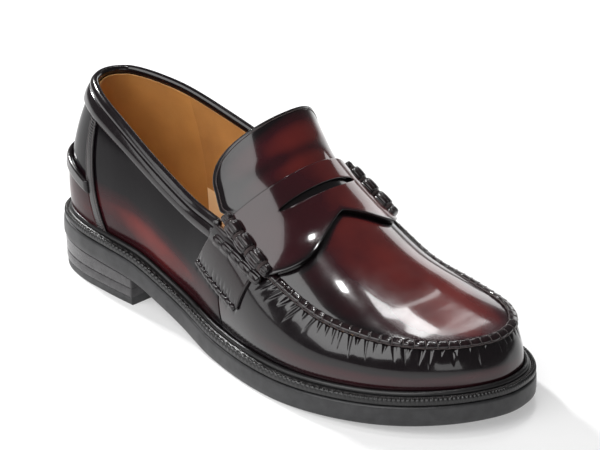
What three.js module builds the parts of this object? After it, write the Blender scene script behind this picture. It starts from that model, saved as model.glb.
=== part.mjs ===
// Penny loafer, right foot, built up from its sole to its saddle strap.
// Millimetres. While it is being built, x is the distance forward from the back of the sole,
// -y is the outer (lateral) side, +y the inner (medial) side, and z = 0 is the ground.
import * as THREE from "three";

// ---- driving sizes -------------------------------------------------------------------------
const LENGTH = 300;          // outsole, heel back to toe tip
const BALL_WIDTH = 110.5;    // outsole, widest place
const BACK_HEIGHT = 110;     // top of the collar at the heel, above the ground
const HEEL_HEIGHT = 18;      // heel block under the outsole, at the middle of the heel
const HEEL_LENGTH = 78;      // back of the heel to its flat front (the breast)
const TOE_SPRING = 7.3;      // how far the toe tip of the outsole stands off the ground
const OUTSOLE = 10.5;        // outsole thickness
const WELT = 3.9;            // welt thickness
const WELT_SHOWS = 6.6;      // width of welt outside the upper
const TOP_LIFT = 4.5;        // rubber tread layer of the heel
const GAP = 0.3;             // working clearance between neighbouring pieces
const LEATHER = 1.3;         // main upper leather
const LINING = 0.9;          // lining leather
const STIFFENER = 0.7;       // heel counter and toe puff
const OVERLAY = 1.3;         // leather sewn on top of the main upper
const BOARD = 2.2;           // insole board
const SOCK = 1.0;            // sock liner
const CORK = 1.8;            // cork bed between outsole and insole board
const SHANK = 1.2;           // steel shank under the arch
const ROLL_RADIUS = 4.0;     // beef roll at each end of the saddle
const SEAM_RIDGE = 2.0;      // half-width of the raised apron seam
const COLLAR_ROLL = 2.3;     // radius of the padded top edge
const THREAD = 0.55;         // radius of the hand-sewing thread
const LACING_SWAY = 0.85;    // half-width of the zigzag along each side panel
const NAIL_RADIUS = 1.4;     // heel nails
const NAIL_COUNT = 5;
const SLIT_WIDTH = 3.6;      // coin slit in the saddle, at its middle
const TONGUE_GAP = 2.4;      // free line where the tongue flap bends, above the saddle
const BEAD = [1.3, 0.9];     // half-width and half-height of the storm bead on the welt

// ---- pattern, drawn at one size and graded to the sizes above --------------------------------
const STRIP_LEAN = 0.75;     // how far the back strips lean forward at the welt, in stations
const LEDGE_DROP = 0.07;     // how much lower the heel ledge meets the strips, as a share of the wall
const PATTERN = { length: 300, width: 110.5, height: 110 };
const grade = {
  x: LENGTH / PATTERN.length,
  y: BALL_WIDTH / PATTERN.width,
  z: BACK_HEIGHT / PATTERN.height,
};
// Sole edge in plan, from the heel back along the outer side, round the toe and back.
const SOLE_EDGE = [
  [0, 0], [2, -15], [13, -27], [32, -34], [58, -36.5], [90, -37.5], [122, -41], [153, -48.5],
  [186, -54.5], [218, -54.5], [246, -48], [268, -37], [286, -21], [297, -3], [300, 13],
  [295.5, 30], [279, 44.5], [252, 54], [218, 56], [186, 51], [154, 42], [122, 35], [90, 32],
  [58, 33], [32, 33.5], [13, 27.5], [2, 15],
];
// Top of the side wall at the same stations: collar line behind, apron seam in front.
const TOP_EDGE = [
  [19, 3, 110], [20.5, -4, 109.5], [26, -11, 108.3], [40, -18.5, 105], [60, -24, 98.5],
  [92, -30, 86], [124, -34, 74.5], [153, -38, 69.5], [186, -40.5, 56.8], [217, -40.5, 46.5],
  [243, -36, 43.5], [262, -27, 42.3], [276, -14, 42], [284, 0, 42], [286.5, 12, 42],
  [283, 25, 42.5], [270, 36, 43], [246, 42, 44], [217, 44, 47.5], [188, 44, 60],
  [155, 42, 72.5], [124, 37, 80], [92, 33.5, 90.5], [60, 28, 101.5], [40, 22.5, 106.5],
  [26, 16.5, 109], [20.5, 10, 109.7],
];
// How far the wall swells outside the straight line from welt to top edge.
const SWELL = [
  6, 6, 6, 5.5, 5, 4, 3.5, 4, 5, 5, 4.5, 3.5, 2.5, 1.5, 1.5, 1.5, 2, 3, 3.5, 3.5, 3, 3, 3.5,
  4.5, 5.5, 6, 6,
];
// Underside of the outsole: station, height as a share of the heel height or the toe spring.
const UNDERSIDE = [
  [0, 1.08, 0], [40, 1, 0], [78, 0.86, 0], [110, 0.44, 0], [140, 0.1, 0], [165, 0, 0],
  [200, 0, 0], [235, 0, 0.27], [265, 0, 0.59], [300, 0, 1],
];
const TOE_TIP = 13.5;        // station number of the toe tip in the two loops
const LOOP = SOLE_EDGE.length;
// Top sheet: ribs numbered from the toe (-0.5) to the end of the tongue (8). Each has a crown
// point; its two ends follow the apron seam up to rib 5, then the saddle and the tongue.
const CROWN = [
  [261, 6.3, 48.2], [256, 6, 49.3], [246, 5.5, 51.8], [232, 4.5, 56.5], [212, 3.5, 65],
  [190, 3, 77.5], [171, 3, 97], [164.5, 3.5, 110], [158, 4, 123],
];
const OUTER_END = [[155, -37.5, 75], [144, -34.5, 89], [134, -33, 102]];
const INNER_END = [[157, 42, 78], [146, 39, 91.5], [136, 38, 104]];
const SADDLE_FRONT = 5;      // rib at the front of the saddle's ends
const SADDLE_BACK = 6;       // rib at the back edge of the saddle
const TONGUE_END = 8;

// ---- curves ------------------------------------------------------------------------------------
function spline(points, t, closed) {
  const n = points.length;
  const pick = (i) => (closed ? points[((i % n) + n) % n] : points[Math.min(Math.max(i, 0), n - 1)]);
  const i = Math.floor(t);
  const u = t - i;
  const [a, b, c, d] = [pick(i - 1), pick(i), pick(i + 1), pick(i + 2)];
  return b.map((_, k) => 0.5 * (2 * b[k] + (c[k] - a[k]) * u
    + (2 * a[k] - 5 * b[k] + 4 * c[k] - d[k]) * u * u
    + (3 * b[k] - a[k] - 3 * c[k] + d[k]) * u * u * u));
}

function graded([x, y, z]) {
  return new THREE.Vector3(x * grade.x, y * grade.y, (z ?? 0) * grade.z);
}

function soleEdge(t, inset = 0) {
  const p = graded(spline(SOLE_EDGE, t, true));
  const along = graded(spline(SOLE_EDGE, t + 0.01, true)).sub(graded(spline(SOLE_EDGE, t - 0.01, true)));
  along.normalize();
  return new THREE.Vector3(p.x - along.y * inset, p.y + along.x * inset, 0);
}

function underside(x) {
  const s = x / grade.x;
  let i = 0;
  while (i < UNDERSIDE.length - 2 && s > UNDERSIDE[i + 1][0]) {
    i += 1;
  }
  const u = (s - UNDERSIDE[i][0]) / (UNDERSIDE[i + 1][0] - UNDERSIDE[i][0]);
  const rows = UNDERSIDE.map((row) => [row[1], row[2]]);
  const [heel, toe] = spline(rows, i + Math.min(Math.max(u, 0), 1), false);
  return Math.max(heel, 0) * HEEL_HEIGHT + Math.max(toe, 0) * TOE_SPRING;
}

// ---- side wall ---------------------------------------------------------------------------------
// Seams near the heel lean forward towards the welt, most of all three stations from the back.
function lean(t, h) {
  const place = t - LOOP * Math.round(t / LOOP);
  const near = Math.min(Math.abs(place), 6);
  return Math.sign(place) * STRIP_LEAN * Math.sin((Math.PI * near) / 6) * Math.max(1 - h, 0) ** 1.2;
}

function wallCurve(station, h) {
  const t = station + lean(station, h);
  const foot = soleEdge(t, WELT_SHOWS);
  foot.z = underside(foot.x) + OUTSOLE + WELT + GAP;
  const top = graded(spline(TOP_EDGE, t, true));
  const out = soleEdge(t, 0).sub(soleEdge(t, 1));
  const swell = spline(SWELL.map((v) => [v]), t, true)[0];
  const middle = foot.clone().add(top).multiplyScalar(0.5).addScaledVector(out, 2 * swell);
  foot.multiplyScalar((1 - h) ** 2).addScaledVector(middle, 2 * h * (1 - h));
  return foot.addScaledVector(top, h * h);
}

function wall(t, h, lift) {
  const e = 0.02;
  const along = wallCurve(t + e, h).sub(wallCurve(t - e, h));
  const up = wallCurve(t, h + e).sub(wallCurve(t, h - e));
  return wallCurve(t, h).addScaledVector(along.cross(up).normalize(), lift);
}

// ---- top sheet: apron, saddle and tongue ---------------------------------------------------------
function ribEnd(q, side) {
  if (q <= SADDLE_FRONT) {
    return graded(spline(TOP_EDGE, side < 0 ? 13 - q : 14 + q, true));
  }
  const rows = side < 0
    ? [TOP_EDGE[9], TOP_EDGE[8], ...OUTER_END]
    : [TOP_EDGE[18], TOP_EDGE[19], ...INNER_END];
  return graded(spline(rows, q - SADDLE_FRONT + 1, false));
}

function sheetCurve(q, u) {
  const side = u < 0 ? -1 : 1;
  const r = Math.abs(u);
  const crown = graded(spline(CROWN, Math.max(q, -0.5), false));
  const end = ribEnd(q, side);
  const bend = side < 0 ? 1.1 : 0.85;
  const out = Math.sin(bend * r) / Math.sin(bend);
  const drop = (1 - Math.cos(bend * r)) / (1 - Math.cos(bend));
  const fan = Math.min(Math.max(5 - q, 0), 1);
  return new THREE.Vector3(
    crown.x + (end.x - crown.x) * (fan * out + (1 - fan) * drop),
    crown.y + (end.y - crown.y) * out,
    crown.z + (end.z - crown.z) * drop,
  );
}

function sheet(q, u, lift) {
  const e = 0.02;
  const v = Math.abs(u) < 0.04 ? 0.04 * (u < 0 ? -1 : 1) : u;
  const back = sheetCurve(q + e, v).sub(sheetCurve(q - e, v));
  const across = sheetCurve(q, v + e / 2).sub(sheetCurve(q, v - e / 2));
  return sheetCurve(q, u).addScaledVector(across.cross(back).normalize(), lift);
}

// ---- closed solids ---------------------------------------------------------------------------
function closedGeometry(points, faces) {
  const corners = [];
  for (const face of faces) {
    for (let k = 1; k < face.length - 1; k += 1) {
      corners.push([points[face[0]], points[face[k]], points[face[k + 1]]]);
    }
  }
  const volume = corners.reduce((sum, [a, b, c]) => sum + a.dot(b.clone().cross(c)), 0);
  const flat = corners.flatMap(([a, b, c]) => (volume < 0 ? [a, c, b] : [a, b, c]));
  const geometry = new THREE.BufferGeometry();
  geometry.setAttribute("position", new THREE.Float32BufferAttribute(flat.flatMap((p) => p.toArray()), 3));
  geometry.computeVertexNormals();
  return geometry;
}

// A slab between two skins of one grid: at(i, j, 0) is the lower skin and at(i, j, 1) the upper.
// keep(i, j) leaves cells out, closed joins the last column to the first.
function slab(columns, rows, at, { closed = false, keep = () => true } = {}) {
  const points = [];
  const index = new Map();
  const corner = (i, j, skin) => {
    const key = `${closed ? i % columns : i},${j},${skin}`;
    if (!index.has(key)) {
      index.set(key, points.length);
      points.push(at(closed ? i % columns : i, j, skin));
    }
    return index.get(key);
  };
  const wide = closed ? columns : columns - 1;
  const kept = (i, j) => (closed || (i >= 0 && i < wide)) && j >= 0 && j < rows - 1
    && keep(closed ? (i + wide) % wide : i, j);
  const faces = [];
  for (let i = 0; i < wide; i += 1) {
    for (let j = 0; j < rows - 1; j += 1) {
      if (!kept(i, j)) {
        continue;
      }
      const ring = [[i, j], [i + 1, j], [i + 1, j + 1], [i, j + 1]];
      faces.push(ring.map(([a, b]) => corner(a, b, 1)));
      faces.push(ring.map(([a, b]) => corner(a, b, 0)).reverse());
      const beyond = [[i, j - 1], [i + 1, j], [i, j + 1], [i - 1, j]];
      beyond.forEach(([a, b], k) => {
        if (!kept(a, b)) {
          const [p, q] = [ring[k], ring[(k + 1) % 4]];
          faces.push([corner(...q, 1), corner(...p, 1), corner(...p, 0), corner(...q, 0)]);
        }
      });
    }
  }
  return closedGeometry(points, faces);
}

// A tube along centres with its own across and up directions and a radius at each.
function tube(rings, sides, closed = false) {
  const points = rings.flatMap(({ at, across, up, wide, high }) => Array.from({ length: sides }, (_, k) => {
    const a = (2 * Math.PI * k) / sides;
    return at.clone().addScaledVector(across, wide * Math.cos(a)).addScaledVector(up, high * Math.sin(a));
  }));
  const faces = [];
  const n = rings.length;
  for (let i = 0; i < (closed ? n : n - 1); i += 1) {
    for (let k = 0; k < sides; k += 1) {
      const [a, b] = [k, (k + 1) % sides];
      const next = ((i + 1) % n) * sides;
      faces.push([i * sides + a, i * sides + b, next + b, next + a]);
    }
  }
  if (!closed) {
    const disc = Array.from({ length: sides }, (_, k) => k);
    faces.push([...disc].reverse());
    faces.push(disc.map((k) => (n - 1) * sides + k));
  }
  return closedGeometry(points, faces);
}

// Rings of a tube that follows path(u) with outward(u) as its upper direction.
function along(count, path, outward, size, closed = false) {
  return Array.from({ length: count }, (_, i) => {
    const u = i / (closed ? count : count - 1);
    const e = 1e-3;
    const ahead = path(u + e).sub(path(u - e)).normalize();
    const up = outward(u);
    up.addScaledVector(ahead, -up.dot(ahead)).normalize();
    const across = ahead.clone().cross(up);
    const [wide, high] = size(u);
    return { at: path(u), across, up, wide, high };
  });
}

// ---- lattices shared by neighbouring layers, so that their facets stay parallel -------------------
function between(lines, from, to) {
  return [from, ...lines.filter((v) => v > from + 0.06 && v < to - 0.06), to];
}

const LOOP_LINES = Array.from({ length: 4 * 3 * LOOP }, (_, i) => i / 4 - LOOP).filter((t) => {
  const place = ((t % LOOP) + LOOP) % LOOP;
  const straight = (place > 4 && place < 10) || (place > 17 && place < 23);
  return !straight || t * 2 === Math.round(t * 2);
});
const WALL_LINES = Array.from({ length: 9 }, (_, i) => i / 8);
const RIB_LINES = Array.from({ length: 18 }, (_, i) => -0.5 + i / 2);
const SPAN_LINES = Array.from({ length: 17 }, (_, i) => -1 + i / 8);

function wallPatch(from, to, low, high, inside, outside, level = (t, h) => h) {
  const ts = between(LOOP_LINES, from, to);
  const hs = between(WALL_LINES, low, high);
  return slab(ts.length, hs.length, (i, j, skin) => (
    wall(ts[i], level(ts[i], hs[j]), skin ? outside : inside)
  ));
}

// Where the inset sole edge crosses station x, on the outer side (from 0) or the inner (from LOOP).
function edgeAt(x, from, inset) {
  let [low, high] = [from, TOE_TIP + 0.4];
  for (let k = 0; k < 30; k += 1) {
    const t = (low + high) / 2;
    [low, high] = soleEdge(t, inset).x < x ? [t, high] : [low, t];
  }
  return soleEdge(low, inset);
}

// A slab with the outline of the sole, in cross-sections that follow the curve of the underside.
// It runs to the toe, or stops square at the station given by front.
function soleSlab(inset, bottom, top, front = 0) {
  const sections = front ? 16 : 38;
  const spans = 4;
  const start = soleEdge(0, inset).x + 0.35;
  const end = front || soleEdge(TOE_TIP + 0.4, inset).x - 0.35;
  const share = (i) => {
    const u = i / (sections - 1);
    return front ? 1 - Math.cos((Math.PI / 2) * u) : (1 - Math.cos(Math.PI * u)) / 2;
  };
  return slab(sections, spans + 1, (i, j, skin) => {
    const x = start + (end - start) * share(i);
    const p = edgeAt(x, 0, inset).lerp(edgeAt(x, LOOP, inset), j / spans);
    p.x = x;
    p.z = (skin ? top : bottom)(x);
    return p;
  });
}

// ---- materials -----------------------------------------------------------------------------------
const look = (color, roughness, metalness = 0) => (
  new THREE.MeshStandardMaterial({ color, roughness, metalness })
);
const materials = {
  oxblood: look(0x4a1a1c, 0.12),
  darkLeather: look(0x1c0f12, 0.18),
  lining: look(0xb07a3c, 0.6),
  tan: look(0xd9a86c, 0.65),
  rubber: look(0x1d1d1f, 0.45),
  stack: look(0x2a2829, 0.35),
  welt: look(0x141214, 0.4),
  thread: look(0x17110f, 0.7),
  board: look(0xb59b78, 0.85),
  cork: look(0x9a6f45, 0.95),
  steel: look(0x9a9da1, 0.35, 1),
  stiff: look(0xcfc6b4, 0.8),
};

const shoe = new THREE.Group();
shoe.name = "penny_loafer";

function add(name, geometry, material) {
  const mesh = new THREE.Mesh(geometry, material);
  mesh.name = name;
  shoe.add(mesh);
}

// ---- heel ------------------------------------------------------------------------------------------
function heelOutline(inset, step = 0.25) {
  const breast = HEEL_LENGTH;
  const points = [];
  for (let t = -8; t <= 8; t += step) {
    const p = soleEdge(t, inset);
    if (p.x < breast - 1) {
      points.push(p);
    }
  }
  const end = points[points.length - 1];
  const start = points[0];
  points.push(new THREE.Vector3(breast, end.y, 0), new THREE.Vector3(breast, start.y, 0));
  return points;
}

function nailPlaces() {
  return Array.from({ length: NAIL_COUNT }, (_, i) => {
    const a = Math.PI * (0.5 + (i + 0.5) / NAIL_COUNT);
    return new THREE.Vector2((36 + 24 * Math.cos(a)) * grade.x, 22 * Math.sin(a) * grade.y);
  });
}

function buildHeel() {
  const layer = (HEEL_HEIGHT * 0.86 - TOP_LIFT) / 2;
  const outline = heelOutline(1.6);
  const shape = new THREE.Shape(outline.map((p) => new THREE.Vector2(p.x, p.y)));
  for (const place of nailPlaces()) {
    shape.holes.push(new THREE.Path().absarc(place.x, place.y, NAIL_RADIUS + GAP, 0, 2 * Math.PI, true));
  }
  const lift = new THREE.ExtrudeGeometry(shape, { depth: TOP_LIFT, bevelEnabled: false, curveSegments: 6 });
  add("heel_top_lift", lift, materials.rubber);
  const middle = TOP_LIFT + layer;
  const lower = soleSlab(1.1, () => TOP_LIFT + GAP, () => middle, HEEL_LENGTH);
  const upper = soleSlab(1.1, () => middle + GAP, (x) => underside(x) - GAP, HEEL_LENGTH);
  add("heel_lift_lower", lower, materials.stack);
  add("heel_lift_upper", upper, materials.stack);
  nailPlaces().forEach((place, i) => {
    const nail = new THREE.CylinderGeometry(NAIL_RADIUS, NAIL_RADIUS, TOP_LIFT - GAP, 12);
    nail.rotateX(Math.PI / 2);
    nail.translate(place.x, place.y, (TOP_LIFT + GAP) / 2);
    add(`heel_nail_${i + 1}`, nail, materials.steel);
  });
}

// ---- sole ------------------------------------------------------------------------------------------
const deck = (x) => underside(x) + OUTSOLE;

function weltBand(outer, inner, low, high) {
  const steps = 4;
  return slab(LOOP * steps, 2, (i, j, skin) => {
    const p = soleEdge(i / steps, j ? inner : outer);
    p.z = deck(p.x) + (skin ? high : low);
    return p;
  }, { closed: true });
}

function ringTube(inset, z, wide, high, wave = 0) {
  const count = LOOP * (wave ? 6 : 3);
  const path = (u) => {
    const p = soleEdge(u * LOOP, inset + (wave ? wave * Math.cos(u * count * Math.PI) : 0));
    p.z = deck(p.x) + z;
    return p;
  };
  const up = () => new THREE.Vector3(0, 0, 1);
  return tube(along(count, path, up, () => [wide, high], true), wave ? 4 : 6, true);
}

function buildSole() {
  const seat = WELT_SHOWS + 4.4;
  const groove = WELT_SHOWS - 2 * BEAD[0] - 2 * GAP - 0.7;
  add("outsole", soleSlab(0, underside, deck), materials.rubber);
  add("welt", weltBand(0.9, seat + 4, GAP, WELT), materials.welt);
  add("welt_bead", ringTube(WELT_SHOWS - BEAD[0] - 2 * GAP, WELT + GAP + BEAD[1], ...BEAD), materials.welt);
  add("welt_thread", ringTube(groove, WELT + GAP + 0.35, 0.5, 0.35, 0.35), materials.thread);
  add("cork_filler", soleSlab(seat + 4 + GAP, (x) => deck(x) + GAP, (x) => deck(x) + CORK), materials.cork);
  const shank = CORK + GAP;
  add("shank", slab(13, 3, (i, j, skin) => {
    const x = (62 + 8 * i) * grade.x;
    return new THREE.Vector3(x, 1 + i / 6 + 6.5 * (j - 1), deck(x) + shank + (skin ? SHANK : 0));
  }), materials.steel);
  const board = WELT + GAP;
  const sock = board + BOARD + GAP;
  const pad = sock + SOCK + GAP;
  const boardSlab = soleSlab(seat, (x) => deck(x) + board, (x) => deck(x) + board + BOARD);
  add("insole_board", boardSlab, materials.board);
  add("sock_liner", soleSlab(seat, (x) => deck(x) + sock, (x) => deck(x) + sock + SOCK), materials.tan);
  const padSlab = soleSlab(seat + 1.5, (x) => deck(x) + pad, (x) => deck(x) + pad + 1.6, 88 * grade.x);
  add("heel_pad", padSlab, materials.tan);
}

// ---- upper walls -------------------------------------------------------------------------------------
const COLLAR_LOW = 0.84;     // where the collar band starts, as a share of the wall
const COLLAR_TOP = 0.93;     // where the leathers stop, just under the rolled edge
const skirt = (2 * BEAD[1] + 2.3 * GAP) / (BACK_HEIGHT - HEEL_HEIGHT - OUTSOLE - WELT);
const inner = -LEATHER;
const stiffOuter = inner - GAP;
const stiffInner = stiffOuter - STIFFENER;
const liningOuter = stiffInner - GAP;
const liningInner = liningOuter - LINING;

function buildWalls() {
  const back = 3;
  const waist = 7;
  const part = 0.02;
  const upper = (from, to, high) => wallPatch(from + part, to - part, 0, high, inner, 0);
  const lining = (from, to) => wallPatch(from + part, to - part, 0.02, COLLAR_TOP, liningInner, liningOuter);
  const overlay = (from, to, low, high) => wallPatch(from, to, low, high, GAP, GAP + OVERLAY);
  add("vamp", upper(waist, LOOP - waist, 0.94), materials.oxblood);
  add("quarter_lateral", upper(back, waist, COLLAR_TOP), materials.oxblood);
  add("quarter_medial", upper(LOOP - waist, LOOP - back, COLLAR_TOP), materials.oxblood);
  add("back_panel", upper(-back, back, COLLAR_TOP), materials.oxblood);
  const foxingTop = 0.375;
  const droop = (t, h) => h - LEDGE_DROP * (t / back) ** 2 * Math.min((h - skirt) / (foxingTop - skirt), 1);
  add("heel_foxing", wallPatch(-2.75, 2.75, skirt, foxingTop, GAP, GAP + 1.6, droop), materials.oxblood);
  add("heel_ledge", wallPatch(-2.7, 2.7, 0.385, 0.425, GAP, GAP + 2.2, droop), materials.darkLeather);
  add("back_strip_lateral", overlay(2.8, 3.1, skirt, COLLAR_LOW - 0.02), materials.darkLeather);
  add("back_strip_medial", overlay(-3.1, -2.8, skirt, COLLAR_LOW - 0.02), materials.darkLeather);
  add("collar", overlay(-6.6, 6.6, COLLAR_LOW, COLLAR_TOP - 0.01), materials.darkLeather);
  add("collar_roll", collarRoll(), materials.darkLeather);
  add("heel_counter", wallPatch(-4.25, 4.25, 0.02, 0.625, stiffInner, stiffOuter), materials.stiff);
  add("toe_puff", wallPatch(11, 16, 0.03, 0.875, stiffInner, stiffOuter), materials.stiff);
  add("heel_lining", lining(-4, 4), materials.tan);
  add("quarter_lining_lateral", lining(4, 8.5), materials.lining);
  add("quarter_lining_medial", lining(LOOP - 8.5, LOOP - 4), materials.lining);
  add("vamp_lining", lining(8.5, LOOP - 8.5), materials.lining);
}

function collarRoll() {
  const reach = 6.7;
  const sink = COLLAR_TOP + 0.016;
  const path = (u) => wall(-reach + 2 * reach * u, sink, -1.1).add(new THREE.Vector3(0, 0, COLLAR_ROLL));
  const outward = (u) => wall(-reach + 2 * reach * u, sink, 1).sub(wall(-reach + 2 * reach * u, sink, 0));
  return tube(along(52, path, outward, () => [COLLAR_ROLL * 1.15, COLLAR_ROLL]), 8);
}

// ---- saddle side panels, their lacing and the beef rolls ---------------------------------------------
function panelPoint(side, a, b, lift) {
  const t = 6.5 + 1.05 * a + 0.5 * b;
  const h = 0.42 + 0.42 * b + 0.1 * (1 - b) * Math.sin(Math.PI * a) * -0.3;
  return wall(side < 0 ? t : LOOP - t, h, lift);
}

function buildSide(side, name) {
  const n = 9;
  const m = 6;
  add(`strap_side_${name}`, slab(n, m, (i, j, skin) => (
    panelPoint(side, i / (n - 1), j / (m - 1), skin ? 0.5 + OVERLAY : 0.5)
  )), materials.darkLeather);
  const stitches = 9;
  const rise = panelPoint(side, 0.5, 1, 0).distanceTo(panelPoint(side, 0.5, 0, 0));
  const path = (u) => {
    const below = THREAD + 1.9 * GAP + LACING_SWAY * (1 - Math.cos(2 * Math.PI * stitches * u));
    return panelPoint(side, 0.06 + 0.88 * u, -below / rise, 0.9 + THREAD);
  };
  const outward = (u) => panelPoint(side, u, -0.1, 1).sub(panelPoint(side, u, -0.1, 0));
  const lacing = tube(along(stitches * 4 + 1, path, outward, () => [THREAD, THREAD]), 5);
  add(`side_lacing_${name}`, lacing, materials.thread);
}

const ROLL_LOBES = 4;

function rollAxis(side, u, lift) {
  const q = SADDLE_FRONT + 0.04 + (SADDLE_BACK - SADDLE_FRONT) * u;
  const out = new THREE.Vector3(0.28, 0.72 * side, 0.64).normalize();
  return ribEnd(q, side).addScaledVector(out, lift);
}

function rollSize(u) {
  const lobe = Math.abs(Math.sin(Math.PI * ROLL_LOBES * u)) ** 0.5;
  return ROLL_RADIUS * (0.72 + 0.28 * lobe);
}

function buildRoll(side, name) {
  const lift = ROLL_RADIUS - 0.2;
  const path = (u) => rollAxis(side, u, lift);
  const outward = () => new THREE.Vector3(0.28, 0.72 * side, 0.64);
  const roll = tube(along(33, path, outward, (u) => [rollSize(u), rollSize(u)]), 10);
  add(`beef_roll_${name}`, roll, materials.darkLeather);
  for (let k = 1; k < ROLL_LOBES; k += 1) {
    const u = k / ROLL_LOBES;
    const centre = path(u);
    const ahead = path(u + 0.01).sub(path(u - 0.01)).normalize();
    const up = outward().addScaledVector(ahead, -outward().dot(ahead)).normalize();
    const across = ahead.clone().cross(up);
    const reach = ROLL_RADIUS + THREAD * 1.4;
    const arc = (v) => {
      const a = (-18 + 216 * v) * (Math.PI / 180);
      const outer = centre.clone().addScaledVector(across, reach * Math.cos(a));
      return outer.addScaledVector(up, reach * Math.sin(a));
    };
    const away = (v) => arc(v).sub(centre);
    const band = tube(along(15, arc, away, () => [1.1, THREAD]), 6);
    add(`roll_binding_${name}_${k}`, band, materials.thread);
  }
}

// ---- apron, its seam, saddle and tongue -----------------------------------------------------------------
function apronPatch(margin, lowLift, highLift) {
  const qs = RIB_LINES.filter((q) => q <= SADDLE_FRONT + 0.01);
  const around = [...qs.map((q) => [q, -1]).reverse(), ...qs.slice(1).map((q) => [q, 1])];
  const shares = [0, 0.25, 0.5, 0.75, 1];
  const reach = (q, side) => 1 - margin / sheetCurve(q, 0).distanceTo(ribEnd(q, side));
  const points = [];
  const faces = [];
  const index = new Map();
  const corner = (i, j, skin) => {
    const [q, side] = around[i];
    const key = j === 0 ? `spine${q},${skin}` : `${i},${j},${skin}`;
    if (!index.has(key)) {
      index.set(key, points.length);
      points.push(sheet(q, shares[j] * reach(q, side) * side, skin ? highLift : lowLift));
    }
    return index.get(key);
  };
  const wide = around.length - 1;
  for (let i = 0; i < wide; i += 1) {
    for (let j = 0; j < shares.length - 1; j += 1) {
      const ring = [[i, j], [i + 1, j], [i + 1, j + 1], [i, j + 1]];
      faces.push(ring.map(([a, b]) => corner(a, b, 1)));
      faces.push(ring.map(([a, b]) => corner(a, b, 0)).reverse());
    }
    const last = shares.length - 1;
    faces.push([corner(i, last, 1), corner(i + 1, last, 1), corner(i + 1, last, 0), corner(i, last, 0)]);
  }
  for (let j = 0; j < shares.length - 1; j += 1) {
    faces.push([corner(0, j, 1), corner(0, j + 1, 1), corner(0, j + 1, 0), corner(0, j, 0)]);
    faces.push([corner(wide, j + 1, 1), corner(wide, j, 1), corner(wide, j, 0), corner(wide, j + 1, 0)]);
  }
  return closedGeometry(points, faces.filter((f) => new Set(f).size > 2));
}

function seamPath(v, lift, sway = 0) {
  const side = v < 0 ? -1 : 1;
  const q = Math.abs(v) * (SADDLE_FRONT + 0.3) - 0.5;
  const edge = ribEnd(q, side);
  const inward = sheetCurve(q, side * 0.9).sub(edge).normalize();
  return edge.addScaledVector(inward, sway).add(new THREE.Vector3(0, 0, lift));
}

function buildApron() {
  add("apron", apronPatch(SEAM_RIDGE + GAP + 1.4, -LEATHER, 0), materials.oxblood);
  add("apron_lining", apronPatch(6, -LEATHER - 2 * GAP - LINING, -LEATHER - 2 * GAP), materials.lining);
  const ridge = SEAM_RIDGE * 0.8 - 0.3;
  const up = () => new THREE.Vector3(0, 0, 1);
  const path = (u) => seamPath(2 * u - 1, ridge);
  const section = () => [SEAM_RIDGE, SEAM_RIDGE * 0.8];
  add("apron_seam", tube(along(73, path, up, section), 7), materials.darkLeather);
  const stitches = 44;
  const above = ridge + SEAM_RIDGE * 0.8 + 1.5 * GAP + THREAD;
  const zigzag = (u) => seamPath(2 * u - 1, above, 1.2 * Math.cos(2 * Math.PI * stitches * u));
  add("apron_thread", tube(along(stitches * 3 + 1, zigzag, up, () => [THREAD, THREAD]), 4), materials.thread);
}

function saddlePoint(u, v, lift) {
  const r = Math.abs(u);
  const front = 5.06 - 0.42 * Math.sin(Math.PI * Math.min(r, 1) ** 1.2);
  const rib = 27;
  const open = (SLIT_WIDTH / rib / 2) * Math.sqrt(Math.max(1 - (r / 0.55) ** 2, 0.02));
  const middle = 5.5 + 0.12 * r * r;
  const stops = [front, middle - open, middle + open, SADDLE_BACK];
  const k = Math.min(Math.floor(v), 2);
  return sheet(stops[k] + (stops[k + 1] - stops[k]) * (v - k), u, lift);
}

function buildSaddle() {
  const us = Array.from({ length: 29 }, (_, i) => -0.86 + (1.72 * i) / 28);
  const vs = [0, 0.33, 0.67, 1, 2, 2.5, 3];
  const keep = (i, j) => !(vs[j] === 1 && Math.abs(us[i] + us[i + 1]) / 2 < 0.53);
  const low = 0.5;
  add("saddle_strap", slab(us.length, vs.length, (i, j, skin) => (
    saddlePoint(us[i], vs[j], skin ? low + 1.6 : low)
  ), { keep }), materials.oxblood);
}

function tongueReach(q) {
  const rounded = Math.sqrt(Math.max(1 - (Math.max(q - 6.9, 0) / (TONGUE_END - 6.9)) ** 2.2, 0));
  const flare = Math.min(Math.max((q - 6.2) / 0.5, 0), 1);
  return 0.12 + (0.82 + 0.09 * flare) * rounded;
}

function tonguePatch(from, to, lowLift, highLift, trim) {
  const qs = between(Array.from({ length: 19 }, (_, i) => 5 + i / 6), from, to);
  const spans = 12;
  return slab(qs.length, spans + 1, (i, j, skin) => {
    const reach = tongueReach(qs[i]) - trim;
    return sheet(qs[i], reach * ((2 * j) / spans - 1), skin ? highLift : lowLift);
  });
}

function buildTongue() {
  const bend = SADDLE_BACK + 0.05;
  const free = bend + TONGUE_GAP / 14.5;
  const liningLow = -LEATHER - 2 * GAP - LINING;
  add("tongue_base", tonguePatch(SADDLE_FRONT + 0.05, bend, -LEATHER, 0, 0.05), materials.oxblood);
  add("tongue_flap", tonguePatch(free, TONGUE_END, -LEATHER, 0, 0), materials.oxblood);
  const liningEnd = TONGUE_END - 1 / 6;
  add("tongue_lining", tonguePatch(free, liningEnd, liningLow, -LEATHER - 2 * GAP, 0.02), materials.lining);
}

buildHeel();
buildSole();
buildWalls();
buildSide(-1, "lateral");
buildSide(1, "medial");
buildRoll(-1, "lateral");
buildRoll(1, "medial");
buildApron();
buildSaddle();
buildTongue();

// The finished shoe stands centred on the origin, toe along +x.
const extent = new THREE.Box3().setFromObject(shoe);
shoe.position.set(-(extent.min.x + extent.max.x) / 2, -(extent.min.y + extent.max.y) / 2, -extent.min.z);

export default shoe;
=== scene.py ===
import math

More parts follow.
